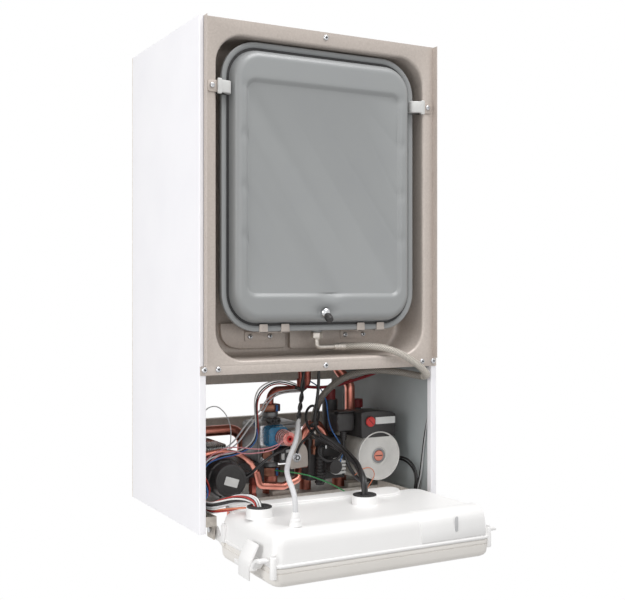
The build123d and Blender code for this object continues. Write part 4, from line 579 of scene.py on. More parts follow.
# The thin wires of the loom, each with a diameter and a finish.
WIRES = {
    "burner_wire_white": (2.2, white_pvc, [
        (34, 150, 183), (12, 158, 192), (-11, 168, 197), (-36, 178, 196), (-58, 186, 188), (-67, 190, 174),
        (-68, 191, 158), (-66, 192, 133), (-69, 196, 115), (-81, 200, 102), (-106, 204, 94), (-133, 206, 93),
        (-159, 208, 86), (-170, 212, 60)]),
    "burner_wire_black": (2.2, black_pvc, [
        (34, 148, 181), (12, 156, 189), (-11, 166, 194), (-34, 176, 193), (-54, 184, 184), (-63, 188, 172),
        (-65, 189, 157), (-63, 190, 132), (-66, 194, 113), (-80, 198, 99), (-106, 202, 91), (-133, 204, 90),
        (-158, 206, 83), (-168, 212, 58)]),
    "burner_wire_red": (2.2, red_pvc, [
        (34, 146, 179), (12, 154, 186), (-11, 164, 191), (-33, 174, 190), (-51, 182, 181), (-60, 186, 170),
        (-62, 187, 156), (-60, 188, 131), (-63, 192, 111), (-79, 196, 96), (-106, 200, 88), (-133, 202, 87),
        (-158, 204, 80), (-166, 212, 56)]),
    "sensor_wire_blue": (2.2, blue_pvc, [
        (-58, 170, 136), (-65, 182, 131), (-66, 196, 126), (-67, 199, 112), (-79, 203, 99), (-106, 207, 91),
        (-133, 209, 89), (-159, 211, 81), (-172, 214, 56)]),
    "ignition_wire_left": (2.4, grey_pvc, [
        (32, 150, 178), (6, 156, 179), (-21, 164, 176), (-41, 172, 165), (-51, 180, 153), (-76, 188, 139),
        (-94, 194, 121), (-106, 196, 108), (-125, 198, 98), (-152, 200, 88), (-170, 206, 70)]),
    "ignition_wire_right": (2.4, grey_pvc, [
        (32, 152, 175), (6, 158, 176), (-20, 166, 173), (-38, 174, 162), (-49, 182, 149), (-73, 190, 134),
        (-90, 197, 117), (-103, 199, 104), (-124, 201, 95), (-152, 203, 85), (-168, 208, 68)]),
    "probe_wire": (1.6, grey_pvc, [
        (-186, 160, 128), (-160, 166, 140), (-143, 170, 154), (-134, 170, 161), (-122, 172, 162), (-111, 176, 152),
        (-105, 180, 138), (-104, 186, 118), (-110, 192, 100)]),
    "coil_wire_upper": (1.8, pink_pvc, [
        (-22, 206, 121), (-21, 214, 122), (-24, 220, 116), (-31, 218, 108), (-46, 217, 101), (-66, 214, 97),
        (-88, 211, 100), (-113, 208, 104), (-132, 206, 100), (-153, 204, 89), (-168, 208, 72)]),
    "coil_wire_lower": (1.8, pink_pvc, [
        (-22, 214, 121), (-27, 216, 119), (-33, 214, 109), (-38, 214, 99), (-52, 214, 94), (-71, 213, 92),
        (-95, 210, 92), (-112, 209, 98), (-132, 208, 94), (-154, 206, 80), (-168, 210, 66)]),
    "valve_cable": (4.6, black_pvc, [
        (2, 180, 100), (-6, 192, 98), (-22, 204, 94), (-40, 209, 89), (-61, 214, 80), (-76, 215, 70),
        (-84, 210, 60), (-90, 199, 54)]),
    "earth_wire": (2.0, green_pvc, [
        (-30, 186, 58), (-27, 197, 58.5), (-20, 205, 58), (-8, 208, 56), (14, 212, 51), (36.2, 218, 42),
        (57.4, 221, 32), (78.9, 222, 18.8)]),
    "loop_cable": (4.2, black_pvc, [
        (60, 232, 88), (54, 222, 92), (45, 206, 99), (36, 194, 108), (29, 186, 120), (27, 178, 135), (34, 172, 149),
        (46, 170, 155), (55, 174, 144), (49, 180, 129), (37, 190, 117), (24, 197, 109), (12, 199, 103),
        (4, 200, 93), (1, 199, 84)]),
    "probe_cable": (4.4, black_pvc, [
        (80, 206, 84), (74, 208, 74), (66, 205, 68), (56, 200, 67), (47, 195, 73), (43, 190, 82), (48, 186, 90),
        (60, 182, 92), (74, 178, 90)]),
    "return_sensor_wire": (2.0, blue_pvc, [
        (52, 150, 190), (60, 160, 184), (64, 170, 174), (67, 178, 158), (64, 186, 137), (65, 194, 117),
        (73, 201, 102), (80, 205, 87), (79, 206, 72), (74, 204, 60)]),
    "side_cable_upper": (3.4, black_pvc, [
        (176, 190, 62), (184, 200, 64), (188, 214, 66), (189, 230, 64), (189, 244, 58), (189, 254, 48),
        (189, 256, 30), (189, 250, 8)]),
    "side_cable_lower": (3.4, black_pvc, [
        (176, 188, 58), (184, 198, 60), (188, 211, 62), (189, 226, 60), (189, 240, 54), (189, 250, 45),
        (189, 252, 28), (188, 246, 8)]),
    "wall_wire_front": (1.6, grey_pvc, [
        (197.5, 292, 166), (196.5, 288, 160), (196.5, 281, 152), (196.5, 274, 136), (196.5, 269, 112), (196.5, 264, 88),
        (196, 260, 58), (194, 258, 36), (190, 252, 12)]),
    "wall_wire_rear": (1.6, black_pvc, [
        (197.5, 291, 158), (196.5, 285, 151), (196.5, 277, 142), (196.5, 270, 126), (196.5, 264, 104), (196.5, 260, 84),
        (196, 255, 56), (194, 253, 34), (188, 248, 12)]),
    "speed_wire": (1.4, orange_pvc, [
        (98, 214, 44), (103, 222, 52), (108, 226.5, 56), (116, 228, 57), (124, 228, 52), (127, 227, 43),
        (122, 225, 33), (116, 222, 22), (112, 216, 10)]),
    "harness_tail_red": (2.4, red_pvc, [
        (-182, 212, 92), (-174, 217, 83), (-165, 220, 70), (-158, 221, 58), (-154, 222, 44), (-158, 221, 35.5),
        (-167, 219, 28.4), (-175, 214, 16)]),
    "harness_tail_blue": (2.4, blue_pvc, [
        (-186, 213, 88), (-177, 217, 79), (-168, 220, 66), (-161, 221, 53), (-157, 222, 40.5), (-161, 221, 32),
        (-170, 219, 25), (-179, 214, 14)]),
    "harness_tail_white": (2.4, white_pvc, [
        (-188, 211, 84), (-180, 216, 75), (-172, 219, 62), (-166, 221, 50), (-162, 222, 38), (-166, 221, 29.5),
        (-175, 218, 22), (-183, 212, 12)]),
}
for name, (diameter, material, route) in WIRES.items():
    wire = line(name, route, diameter, material)
    seated(wire, "casing", "black_rubber")
    declared(route)

# The copper bend that shows behind the looms.
BEND = [
    (20.5, 166, 73.4), (25.9, 166, 97.1), (33.2, 166, 111.8), (44.2, 166, 120.8), (56.1, 166, 120), (66.3, 166, 110.4),
    (71, 166, 95.5), (71.9, 166, 71),
]
bend = strands("bay_bend", [(smooth(BEND), 13, copper)])
seated(bend, "casing", "copper")

# The ignition lead in its dark red sleeve.
IGNITION_LEAD = [
    (30, 160, 184), (42, 166, 183), (54, 171, 182), (69, 178, 183), (85, 184, 186), (104, 188, 191), (126, 192, 197),
    (149, 196, 204), (168, 199, 212), (176, 200, 221),
]
middle = smooth(IGNITION_LEAD)
sleeve = strands("ignition_lead", [(middle, 5, red_braid)])
seated(sleeve, "casing", "dark_red_plastic")
declared(IGNITION_LEAD, path=middle)

# ======== Casing ========

for side, name in ((-1, "side_panel_left"), (1, "side_panel_right")):
    panel = Piece(name + "_sheet")
    outline = [
        (180, 2), (200, 2), (200, CASE_DEPTH), (189.8, CASE_DEPTH), (189.8, 283), (190.8, 283), (190.8, 292),
        (199, 292), (199, 3), (180, 3),
    ]
    bends = {1: 1.5, 2: 1.5, 3: 1.2, 6: 0.5, 7: 0.6, 8: 0.6}
    panel.add(level(outline, 0, CASE_HEIGHT, bends, side=side), powder_coat)
    lining = [(181, 3), (199, 3), (199, 291.6), (198.9, 291.6), (198.9, 3.1), (181, 3.1)]
    panel.add(level(lining, 0.2, CASE_HEIGHT - 0.4, side=side), inner_face_grey)
    panel.done("casing", "white_enamel", name)

bumpers = Piece("panel_bumpers")
for height in (0, 716.6):
    bumpers.add(block((-199.4, -191), (287, 292.8), (height, height + 3.4)), rubber, 0.8)
bumpers.done("casing", "black_rubber")


def screw(piece, x, depth, height, radius=4.2, rise=2.6):
    """A zinc-plated pan-head screw with a cross recess, which faces the front."""
    head = [(0, radius), (rise * 0.35, radius), (rise * 0.75, radius * 0.88), (rise, radius * 0.62)]
    shape = turned(Vector((0, 0, 0)), (0, 0, 1), head, 24)
    rim = [edge for edge in shape.edges if all(vertex.co.z > rise / 1000 - 1e-6 for vertex in edge.verts)]
    arm, slot = radius * 0.48, radius * 0.13
    cross = [(arm, -slot), (arm, slot), (slot, slot), (slot, arm), (-slot, arm), (-slot, slot), (-arm, slot),
             (-arm, -slot), (-slot, -slot), (-slot, -arm), (slot, -arm), (slot, -slot)]
    points = [shape.verts.new((a / 1000, b / 1000, rise / 1000)) for a, b in cross]
    brim = [shape.edges.new(pair) for pair in zip(points, points[1:] + points[:1])]
    bmesh.ops.bridge_loops(shape, edges=rim + brim)
    low, floor_edges = next_ring(shape, brim)
    bmesh.ops.translate(shape, verts=low, vec=(0, 0, -rise * 0.6 / 1000))
    bmesh.ops.contextual_create(shape, geom=floor_edges)
    piece.add(aimed(shape, at(x, depth, height), FORWARD), zinc)


RECESS = (348, 458)
RECESS_MIDDLE = 469
cover = Piece("chamber_cover_pressing")
pressed = [(COVER_FRONT, 8, 46), (293.2, 4, 44), (291, 1, 42.5), (288, 0, 42), (234, -2, 41), (229, -5, 40),
           (226, -11, 37), (225, -19, 33)]
outside = [((0, depth, 476.5), (387, 487), 0.6) for depth in (CASE_DEPTH, COVER_FRONT)]
front = [((0, depth, RECESS_MIDDLE), (RECESS[0] + grow, RECESS[1] + grow), radius) for depth, grow, radius in pressed]
back = [((0, depth - 1, RECESS_MIDDLE), (RECESS[0] + grow + 2, RECESS[1] + grow + 2), radius + 1)
        for depth, grow, radius in pressed]
cover.add(lofted("front", back[::-1] + outside + front, steps=12), galvanised)
cover.add(block((-193.5, 193.5), (CASE_DEPTH, COVER_FRONT), (220, 233)), galvanised, 0.4)
for side in (-1, 1):
    tab = plate(((193, 220), (199, 220), (199, 233), (193, 233)), 293, 1, {1: 1.5, 2: 1.5}, side=side)
    cover.add(tab, galvanised)
    lip = level(((193.5, 293), (193.5, 305), (192.5, 305), (192.5, 293)), 233.5, 486, {1: 0.4, 2: 0.4}, side=side)
    cover.add(lip, galvanised)
for outline, rounds in (
    ([(-142, 290), (-142, 262), (-118, 252), (-36, 252), (-36, 290)], {1: 16, 2: 14, 3: 5}),
    ([(-28, 290), (-28, 250.5), (118, 250.5), (158, 276), (158, 290)], {1: 5, 2: 26, 3: 20}),
):
    platform = plate(outline, 224, 9, rounds, 8)
    cover.add(platform, galvanised, 4, 4)
cover.done("casing", "galvanised", "chamber_cover")

# A near-white sheet over the chamber's back skirt, which hangs 20 mm in front of the wall: painted light, brighter than
# the rest to stand in for the light that reaches it.
skirt = Piece("chamber_skirt_painted_light")
skirt.add(block((-187, 187), (21, 21.6), (180, 220.8)), painted_light_zinc)
skirt.done("casing", "galvanised")

screws = Piece("chamber_cover_screws")
for x, height in ((-192.75, 228), (192.75, 228), (-172, 228), (172, 228), (0, 228), (0, 712)):
    screw(screws, x, COVER_FRONT, height)
screws.done("casing", "zinc_screw", "cover_screws")

# ======== Expansion vessel ========

vessel = Piece("vessel_front")
rim = [(0.2, 277), (0, 278), (0, 281), (0.6, 282.4), (1.8, 283), (5, 283), (7.5, 282), (8.6, 280.6), (12, 280.4),
       (12.7, 282.4), (13.6, 286.6), (15.2, 291), (17.6, 294.6), (20.6, 297), (24, 298.1)]
sections = [((0, depth, 487.2), (324.8 - 2 * inset, 416.4 - 2 * inset), max(56 - inset, 14)) for inset, depth in rim]
for share in (0.1, 0.25, 0.4, 0.55, 0.7, 0.85, 1):
    size = (276.8 - 12.8 * share, 368.4 - 53.4 * share)
    sections.append(((0, 298.3, 487.2 - 2.7 * share), size, 32 - 14 * share))
for size, depth, radius in (((262, 312.4), 298.1, 17), ((259, 308), 297.2, 15.5), ((255.4, 303.4), 295.4, 13),
                            ((253, 300.6), 294.5, 11.5), ((251, 298.6), 294.2, 10)):
    sections.append(((0, depth, 484.5), size, radius))
shell = lofted("front", sections, steps=12)
# The flat runs are cut finely, so that the dents have points to move.
long_edges = [edge for edge in shell.edges if edge.calc_length() > 0.12]
bmesh.ops.subdivide_edges(shell, edges=long_edges, cuts=72, use_grid_fill=True)
# Dents pressed into the shell: each has its place, its half width and height, and how far it goes in.
DENTS = [(side * 131, height, 7, 9, 1.8) for side in (-1, 1) for height in (560, 485, 415)]
DENTS += [(-129, 628, 8, 7, 1.2), (130, 630, 8, 7, 1.2), (0, 305.5, 17, 9, 6), (9, 331, 17, 6, 2.4)]
for x, height, wide, tall, sink in DENTS:
    middle = at(x, 0, height)
    for vertex in shell.verts:
        if vertex.co.y < -0.29:
            off = ((vertex.co.x - middle.x) / wide, (vertex.co.z - middle.z) / tall)
            away = (off[0] ** 2 + off[1] ** 2) * 1e6
            vertex.co.y += sink / 1000 / (1 + away ** 2)
vessel.add(shell, tank_paint)
stem = turned(at(0, 292.5, 305.5), (0, -1, -0.7), [(0, 8), (2, 7.8), (4, 6.6), (5.6, 4.8), (6.4, 3.4), (12, 3.4),
                                                   (12, 0)])
vessel.add(stem, zinc)
vessel.done("casing", "vessel_grey", "vessel_front_shell")

brackets = Piece("vessel_support_brackets")
for left, right in ((-104, -55), (59.5, 108.5)):
    face = [(left, 262.8), (right, 262.8), (right, 277.6), (left, 277.6)]
    brackets.add(plate(face, 232.8, 1.8, {0: 2.5, 1: 2.5}), galvanised, 0.3)
    shelf = [(left, 232), (right, 232), (right, 284.7), (right - 14, 284.7), (right - 14, 274), (left + 14, 274),
             (left + 14, 284.7), (left, 284.7)]
    brackets.add(level(shelf, 277, 1.7, {4: 3, 5: 3}), galvanised, 0.3)
    for x in (left + 7, right - 7):
        hook = [(x - 7, 277), (x + 7, 277), (x + 6.4, 289.8), (x - 6.4, 289.8)]
        brackets.add(plate(hook, 283, 1.7, {2: 1.5, 3: 1.5}), galvanised, 0.4)
    for x in (left + 8.5, right - 8):
        screw(brackets, x, 234.6, 269.8, 4.0, 2.2)
brackets.done("casing", "galvanised", "vessel_brackets")

straps = Piece("vessel_straps")
for side in (-1, 1):
    metal = plate(((152.4, 614.5), (188, 614.5), (188, 632), (152.4, 632)), 282.8, 1.2, {0: 3, 3: 3}, side=side)
    straps.add(metal, black_nylon, 0.3)
    ear = plate(((166, 615), (188.4, 615), (188.4, 631), (166, 632)), 294, 1.6, {1: 4, 2: 4}, side=side)
    straps.add(ear, galvanised, 0.3)
    sleeve = [(151.4, 285), (151.4, 292), (154, 295.4), (160, 297.6), (168, 298.4), (173.6, 298.2), (174.6, 295.8),
              (167, 295), (155, 284.6)]
    cap = level(sleeve, 614.6, 18, {1: 2, 3: 3, 4: 2}, side=side)
    straps.add(cap, white_nylon, 1.4, 3)
    band = [(168, 612.6), (174.4, 612.6), (174.4, 634.4), (168, 634.4)]
    collar = plate(band, 295.2, 3.8, 1.5, side=side)
    straps.add(collar, white_nylon, 1, 3)
    screw(straps, side * 181.6, 295.6, 624, 3.9, 2.2)
straps.done("casing", "black_plastic", "strap_clips")

valve_cap = Piece("air_valve_cap")
VALVE_WAY = Vector((0, -1, -0.7)).normalized()
valve_foot = at(0, 292.5, 305.5) + VALVE_WAY * 0.0075
knurled = [(0, 5.2), (0.6, 5.5), (9.6, 5.5), (11.2, 5.1), (11.9, 3.8), (11.9, 0)]
valve_cap.add(turned(valve_foot, VALVE_WAY, knurled, 24), black_nylon)
for number in range(16):
    angle = 2 * pi * number / 16
    above = VALVE_WAY.cross(Vector((1, 0, 0)))
    foot = valve_foot + VALVE_WAY * 0.001 + (Vector((1, 0, 0)) * cos(angle) + above * sin(angle)) * 0.0055
    rib = turned(foot, VALVE_WAY, disc(0.35, 8), 6)
    valve_cap.add(rib, black_nylon)
valve_cap.done("casing", "black_plastic", "vessel_valve_cap")


NUT_CHAMFER = 1.2


def nut(x, depth, height, across_flats):
    """A hexagon nut standing between two heights, its corners turned off top and bottom."""
    shape = bmesh.new()
    low, high = height
    circle = bmesh.ops.create_circle(shape, cap_ends=True, segments=6, radius=across_flats / 1.732 / 1000)["verts"]
    bmesh.ops.translate(shape, verts=circle, vec=at(x, depth, low))
    pushed(shape, (0, 0, (high - low) / 1000))
    lids = [face for face in shape.faces if len(face.verts) == 6]
    bmesh.ops.bevel(shape, geom=[edge for face in lids for edge in face.edges], offset=NUT_CHAMFER / 1000, segments=2,
                    profile=0.5, affect="EDGES", material=-1)
    return shape


hose_end = Piece("vessel_hose_fittings")
hose_end.add(nut(2, 262, (266.6, 276), 16), nickel)
hose_end.add(hanging(2, 262, 266.8, [(-1, 4), (0, 6), (1.6, 5.6), (2, 4.4), (2, 3)]), nickel)
crimp = [(0, 3.4), (0, 5), (0.6, 5.6), (4, 5.6), (4.6, 5.1), (5.6, 5.1), (6.2, 5.8), (9.4, 5.8), (10, 5.2), (11, 5.2),
         (11.6, 6), (17.6, 6), (18.2, 5.4)]
hose_end.add(turned(at(32, 262, 253), (1, 0, 0), crimp), nickel)
hose_end.add(upright(58, 151, 100, [(0, 6), (0, 8), (3, 8), (4, 6.8), (15, 6.6), (15.6, 5.6)]), nickel)
hose_end.done("casing", "black_rubber")
ELBOW = [(2, 262, 268), (2, 262, 260), (2.5, 262, 255), (7, 262, 253), (14, 262, 253), (34, 262, 253)]
elbow = strands("vessel_hose_elbow", [(smooth(ELBOW), 7.4, nickel)])
seated(elbow, "casing", "zinc_screw")

# ======== Gas side ========

gas_valve = Piece("gas_valve_casting")
body = ((100, 3), (102, 0), (158, 0), (161, 1.2), (161.6, 4.4), (166, 5.2), (168, 8))
gas_valve.add(boss(-10.5, 97, (75, 62), 7, body), die_cast)
neck = [(0, 11), (1, 13.2), (7, 13.2), (8, 12), (9, 12), (10, 14.6), (14, 15.5)]
gas_valve.add(hanging(-7, 120, 142, neck), die_cast)
gas_valve.add(upright(-7, 120, 52, neck), die_cast)
for x in (-43, -30, 10, 22):
    rib = [(x - 1.6, 167.5), (x + 1.6, 167.5), (x + 1, 171), (x - 1, 171)]
    gas_valve.add(level(rib, 68, 22), die_cast, 0.4)
for x, height in ((-42, 122), (21, 122), (-42, 73), (21, 73)):
    gas_valve.add(faced(x, 166, height, [(0, 5.5), (2.6, 5.2), (3, 4.4), (3, 0)]), die_cast)
    screw(gas_valve, x, 169, height, 3.4, 2.4)
gas_valve.add(boss(-28, 110, (40, 36), 3, ((166, 0), (170.5, 0), (171.5, 2))), die_cast)
gas_valve.add(faced(-36, 168, 80, [(0, 9), (3, 9), (4, 8.4), (4, 5.6), (2.4, 5), (2.4, 0)]), brass)
gas_valve.add(boss(-10, 80, (28, 24), 2.5, ((167, 0), (185.5, 0), (187.5, 3))), black_nylon)
gas_valve.add(block((-21, -16), (187, 191), (74, 84)), white_nylon, 0.8)
gas_valve.add(block((-13, -1), (187, 190.5), (84.5, 89.5)), white_nylon, 1.2)
for x in (-32, -22):
    gas_valve.add(faced(x, 168, 134, [(0, 5), (12, 5), (13, 4), (13, 2.4), (9, 2.2), (9, 0)], 20), black_nylon)
gas_valve.done("casing", "cast_alloy", "gas_valve_body")

solenoid = Piece("gas_operator")
solenoid.add(boss(-33, 111, (33, 32), 2, ((171, 0), (174, 0))), zinc, 0.4)
# Each section of the poured resin: its depth, how much smaller it is, and how far it leans and rises.
RESIN = [
    (173.5, 1, 0, 0), (176, -1, 0.4, 0.3), (180, 2, -0.6, 0.5), (184, 0, 0.5, -0.4), (188, 3, 0, 0.4),
    (192, 2, 0.6, 0), (194, 8, 0, 0),
]
resin = lofted("front", [((-28 + lean, depth, 111 + rise), (34 - less, 31 - less), 6)
                         for depth, less, lean, rise in RESIN])
solenoid.add(resin, blue_resin)
solenoid.done("casing", "blue_plastic", "gas_solenoid")

COIL_X, COIL_HEIGHT = -22, 110.5
coil = Piece("gas_modulator_coil")
rings = [(0, 6)]
for number in range(5):
    start = 0.4 + number * 5.2
    radius = 12.6 - 0.5 * number
    rings += [(start, radius - 2), (start + 0.6, radius), (start + 3.8, radius), (start + 4.4, radius - 2)]
coil.add(faced(COIL_X, 194, COIL_HEIGHT, rings + [(26.6, 5), (26.6, 0)], 40), winding)
cap = [(0, 5.6), (1.2, 5.4), (1.5, 4.6), (1.5, 2.6), (0.6, 2.2), (0.6, 0)]
coil.add(faced(COIL_X, 220, COIL_HEIGHT, cap), red_abs)
for number in range(4):
    start = 199 + number * 5.2
    coil.add(faced(COIL_X, start, COIL_HEIGHT, disc(12.4 - 0.5 * number, 0.9), 40), white_nylon)
coil.done("casing", "copper", "gas_coil")

nuts = Piece("gas_union_nuts")
for height in ((38, 52), (142, 154)):
    nuts.add(nut(-7, 120, height, 29), brass)
    stripe = level(((-4.4, 134.4), (0.6, 134.4), (0.6, 134.75), (-4.4, 134.75)), height[0] + 0.8,
                   height[1] - height[0] - 1.6)
    nuts.add(stripe, blue_pvc)
nuts.done("casing", "brass_part", "gas_nuts")

bracket = Piece("valve_bracket_plate")
outline = [(-4, 120), (14, 120), (16, 98), (25, 90), (26, 60), (-6, 58)]
bracket.add(plate(outline, 188, 2, {1: 3, 2: 4, 3: 8, 4: 3, 5: 3}), galvanised, 0.4)
bracket.add(block((-4, 14), (168, 190), (118, 120)), galvanised, 0.4)
bracket.add(faced(5.7, 190, 75.7, [(0, 7.4), (0.8, 7.4), (1, 6.8), (1, 5), (3.5, 4.8), (3.5, 0)]), zinc)
bracket.add(faced(5.7, 193.4, 75.7, [(0, 4.8), (0.2, 4.4), (0.2, 2.4), (-1.4, 2.2), (-1.4, 0)], 6), black_nylon)
bracket.done("casing", "galvanised", "bracket_plate")

# ======== Water side ========

exchanger = Piece("plate_heat_exchanger")
for number in range(22):
    near = -174 + 3.18 * number
    grow = 0 if number in (0, 21) else 1.4
    edge = lofted("side", [((near + x, 100, 88), (138 - grow - inset, 28 - grow - inset), 6) for x, inset in
                           ((0, 2.4), (0.5, 0.6), (1.3, 0), (2.2, 0.6), (3.1, 3.6))], steps=5)
    exchanger.add(edge, stainless)
exchanger.done("casing", "stainless", "plate_exchanger")

DRIVE_X, DRIVE_HEIGHT = -122, 56
actuator = Piece("diverter_motor")
rings = [(0, 24), (1, 31), (18, 31), (22, 29.5), (27, 29.5), (30, 28), (30.2, 26.4), (31, 25.4), (48, 25.4),
         (50.4, 24.6), (51, 23.2), (51, 20.6), (50.5, 20), (50.5, 0)]
actuator.add(faced(DRIVE_X, 175, DRIVE_HEIGHT, rings, 56), black_nylon)
for number in range(10):
    angle = 2 * pi * number / 10
    x, height = DRIVE_X + 27.6 * cos(angle), DRIVE_HEIGHT + 27.6 * sin(angle)
    actuator.add(faced(x, 200, height, [(0, 0), (0, 2.2), (6, 2), (6.4, 1.4), (6.4, 0)], 12), black_nylon)
actuator.add(faced(DRIVE_X, 165, 50, [(0, 16), (0.6, 18), (10, 18), (11, 17)]), black_nylon)
actuator.add(boss(-89, 54, (16, 20), 2, ((178, 0), (198, 0), (200, 2))), black_nylon)
actuator.add(block((-99, -93), (180, 196), (44, 66)), black_nylon, 0.8)
label = plate(((-134, 52), (-113, 45), (-109, 57), (-130, 64)), 225.6, 0.25, 1)
actuator.add(label, white_pvc)
actuator.done("casing", "black_plastic", "diverter_actuator")

PUMP_X, PUMP_HEIGHT = 138, 73
motor = Piece("pump_motor_casing")
rings = [(0, 38), (0.4, 45.4), (1.4, 45.8), (7.6, 45.8), (9, 44.6), (9.6, 41), (11, 39.6), (66, 39.2), (70, 39.2),
         (75, 38.6), (77, 37.4), (78, 36.6)]
motor.add(faced(PUMP_X, 140, PUMP_HEIGHT, rings, 72), motor_paint)
face = [(77, 36), (77, 38), (77.6, 38.9), (80, 39.2), (83.4, 39), (84, 38.4), (84, 37.6), (83.4, 37), (82.4, 36.6),
        (82.4, 36.2), (82, 35.4), (82, 14.8), (82, 14.4), (81.2, 13.6), (80.8, 13.4), (80.8, 10.4), (81.6, 10)]
motor.add(faced(PUMP_X, 140, PUMP_HEIGHT, face, 72), brushed_aluminium)
hub = [(0, 12), (1.6, 12), (2, 11.4), (2, 9.4), (1.4, 8.8), (0, 8.6)]
motor.add(faced(PUMP_X, 220, PUMP_HEIGHT, hub, 40), die_cast)
motor.add(faced(PUMP_X, 220, PUMP_HEIGHT, [(0, 8.6), (1.2, 8.6), (2, 8), (2, 7.6), (2, 0)], 40), copper)
motor.add(block((131.5, 144.5), (221.2, 222.05), (72.2, 73.8)), black_nylon, 0.1)
for number in range(4):
    angle = radians(45 + 90 * number)
    x, height = PUMP_X + 40.6 * cos(angle), PUMP_HEIGHT + 40.6 * sin(angle)
    bolt = [(0, 0), (0, 4.2), (4.6, 4.2), (5, 3.8), (5, 2.4), (3, 2.2), (3, 0)]
    motor.add(faced(x, 147, height, bolt, 6), zinc)
motor.done("casing", "motor_silver", "pump_motor")

terminals = Piece("pump_terminal_cover")
crown = [(105, 107.5), (170, 107.5), (170, 139), (160, 143), (137, 145.6), (114, 145.4), (105, 143.6)]
hood = plate(crown, 184, 39.2, {2: 3, 3: 5, 4: 10, 5: 5, 6: 2})
terminals.add(hood, black_nylon, 1.2, 3)
rear = plate(((106, 108), (168, 108), (168, 138), (158, 142), (115, 143), (106, 142)), 160, 26)
terminals.add(rear, black_nylon, 1.0)
terminals.add(block((106.5, 168.5), (160, 222.6), (103, 109)), black_nylon, 0.6)
terminals.add(faced(120, 223, 129, [(0, 9.4), (0.8, 9.2), (0.9, 8.5), (0, 8.4)], 40), black_nylon)
tag = plate(((131, 124), (168, 124), (168, 135), (131, 135)), 223.2, 0.3, 0.8)
terminals.add(tag, white_pvc)
terminals.done("casing", "black_plastic", "pump_terminal_box")

connector = Piece("pump_connector")
plug = ((172, 3), (174, 0), (188, 0), (190, 3), (203, 4), (205, 8))
connector.add(boss(87.5, 128, (35, 33), 5, plug), black_nylon)
connector.add(faced(82, 204, 129, [(-4, 11.4), (0, 11.2), (0.8, 10.4), (0.8, 0)], 40), black_nylon)
connector.add(block((74, 104), (180, 204), (143.5, 145)), black_nylon, 0.6)
relief = [(0, 6.4)]
for number in range(4):
    low = 0.5 + 3.4 * number
    relief += [(low, 6.2 - 0.4 * number), (low + 2, 6 - 0.4 * number), (low + 2.2, 4.2), (low + 3.2, 4.1)]
connector.add(hanging(87, 196, 112, relief + [(14, 3.2)], 28), black_nylon)
connector.done("casing", "black_plastic", "pump_plug")

fittings = Piece("bay_fittings")
fittings.add(upright(9, 200, 188, [(0, 0), (0, 6.6), (1, 7.4), (12, 7.4), (12.6, 5.4), (46, 5.2)], 24), burnt_copper)
for x, depth, height, radius, way in ((4, 199, 183, 5.2, (0.3, 0, 1)), (28, 205, 129, 6.2, (0.1, -0.5, -0.85))):
    band = [(0, radius), (0, radius + 1.2), (3.4, radius + 1.2), (3.4, radius), (0, radius)]
    fittings.add(turned(at(x, depth, height), way, band, 20), black_nylon)
for x0, x1 in ((-22, 24), (117, 160)):
    fittings.add(block((x0, x1), (149, 160), (9.5, 20)), aged_zinc, 1.6, 3)
    fittings.add(block((x0 + 3, x1 - 3), (141, 150), (9.5, 22)), galvanised, 1, 2)
tail = [(0, 0), (0, 7.4), (9, 7.2), (10, 6), (13, 6), (14, 6.8), (24, 6.6), (25, 5.6), (34, 5.2)]
fittings.add(upright(-55, 156, 9.5, tail, 6), burnt_copper)
for number in range(4):
    fittings.add(block((66, 88), (190, 203), (46 + 5.6 * number, 50 + 5.6 * number)), white_nylon, 1)
fittings.add(block((70, 84), (188, 199), (44, 70)), white_nylon, 1.4)
ribs = [(0, 0), (0, 7)]
for number in range(9):
    low = 2 + 5 * number
    ribs += [(low, 7), (low + 0.6, 8.4), (low + 3, 8.4), (low + 3.6, 7)]
fittings.add(upright(54, 178, 27, ribs + [(50, 6), (60, 6), (61, 0)], 28), black_nylon)
stub = [(0, 3.4), (8, 3.4), (8.4, 4.6), (13, 4.6), (13.4, 2.6), (24, 2.4), (24, 0)]
fittings.add(upright(43, 176, 76, stub, 6), brass)
fittings.add(upright(66, 176, 84, [(0, 2.6), (14, 2.4), (14, 0)], 16), stainless)
fittings.done("casing", "grey_plastic")

speed_knob = Piece("pump_speed_dial")
speed_knob.add(faced(120, 224.3, 129, [(0, 7.6), (0.4, 8), (3, 8), (3.7, 7.4), (3.7, 0)], 40), red_abs)
speed_knob.add(plate(((115, 132.9), (124, 124), (125.1, 125.1), (116.1, 134)), 227.9, 0.15), dark_red)
speed_knob.add(faced(120, 217, 129, [(0, 0), (0, 2.8), (8, 2.8)], 16), red_abs)
speed_knob.done("speed_knob", "red_plastic", "pump_speed_knob")

# ======== Control box ========

# The folded box: its middle's depth, its size, its lid's top and tray's bottom, and the places of what it carries.
BOX_MIDDLE = 379
BOX_SIZE = (342, 178)
LID_TOP = 35
TRAY_BOTTOM = -35
GROMMETS = (-143, 22.6)
GROMMET_DEPTH = 367
GAUGE_X = 75
DIAL_DEPTH = 385


def box_sections(profile, corner, inner_corner):
    """Sections of the box from pairs of height and inset, with tighter corners where the inset is 10 or more."""
    width, length = BOX_SIZE
    return [((0, BOX_MIDDLE, height), (width - 2 * inset, length - 2 * inset), corner if inset < 10 else inner_corner)
            for height, inset in profile]


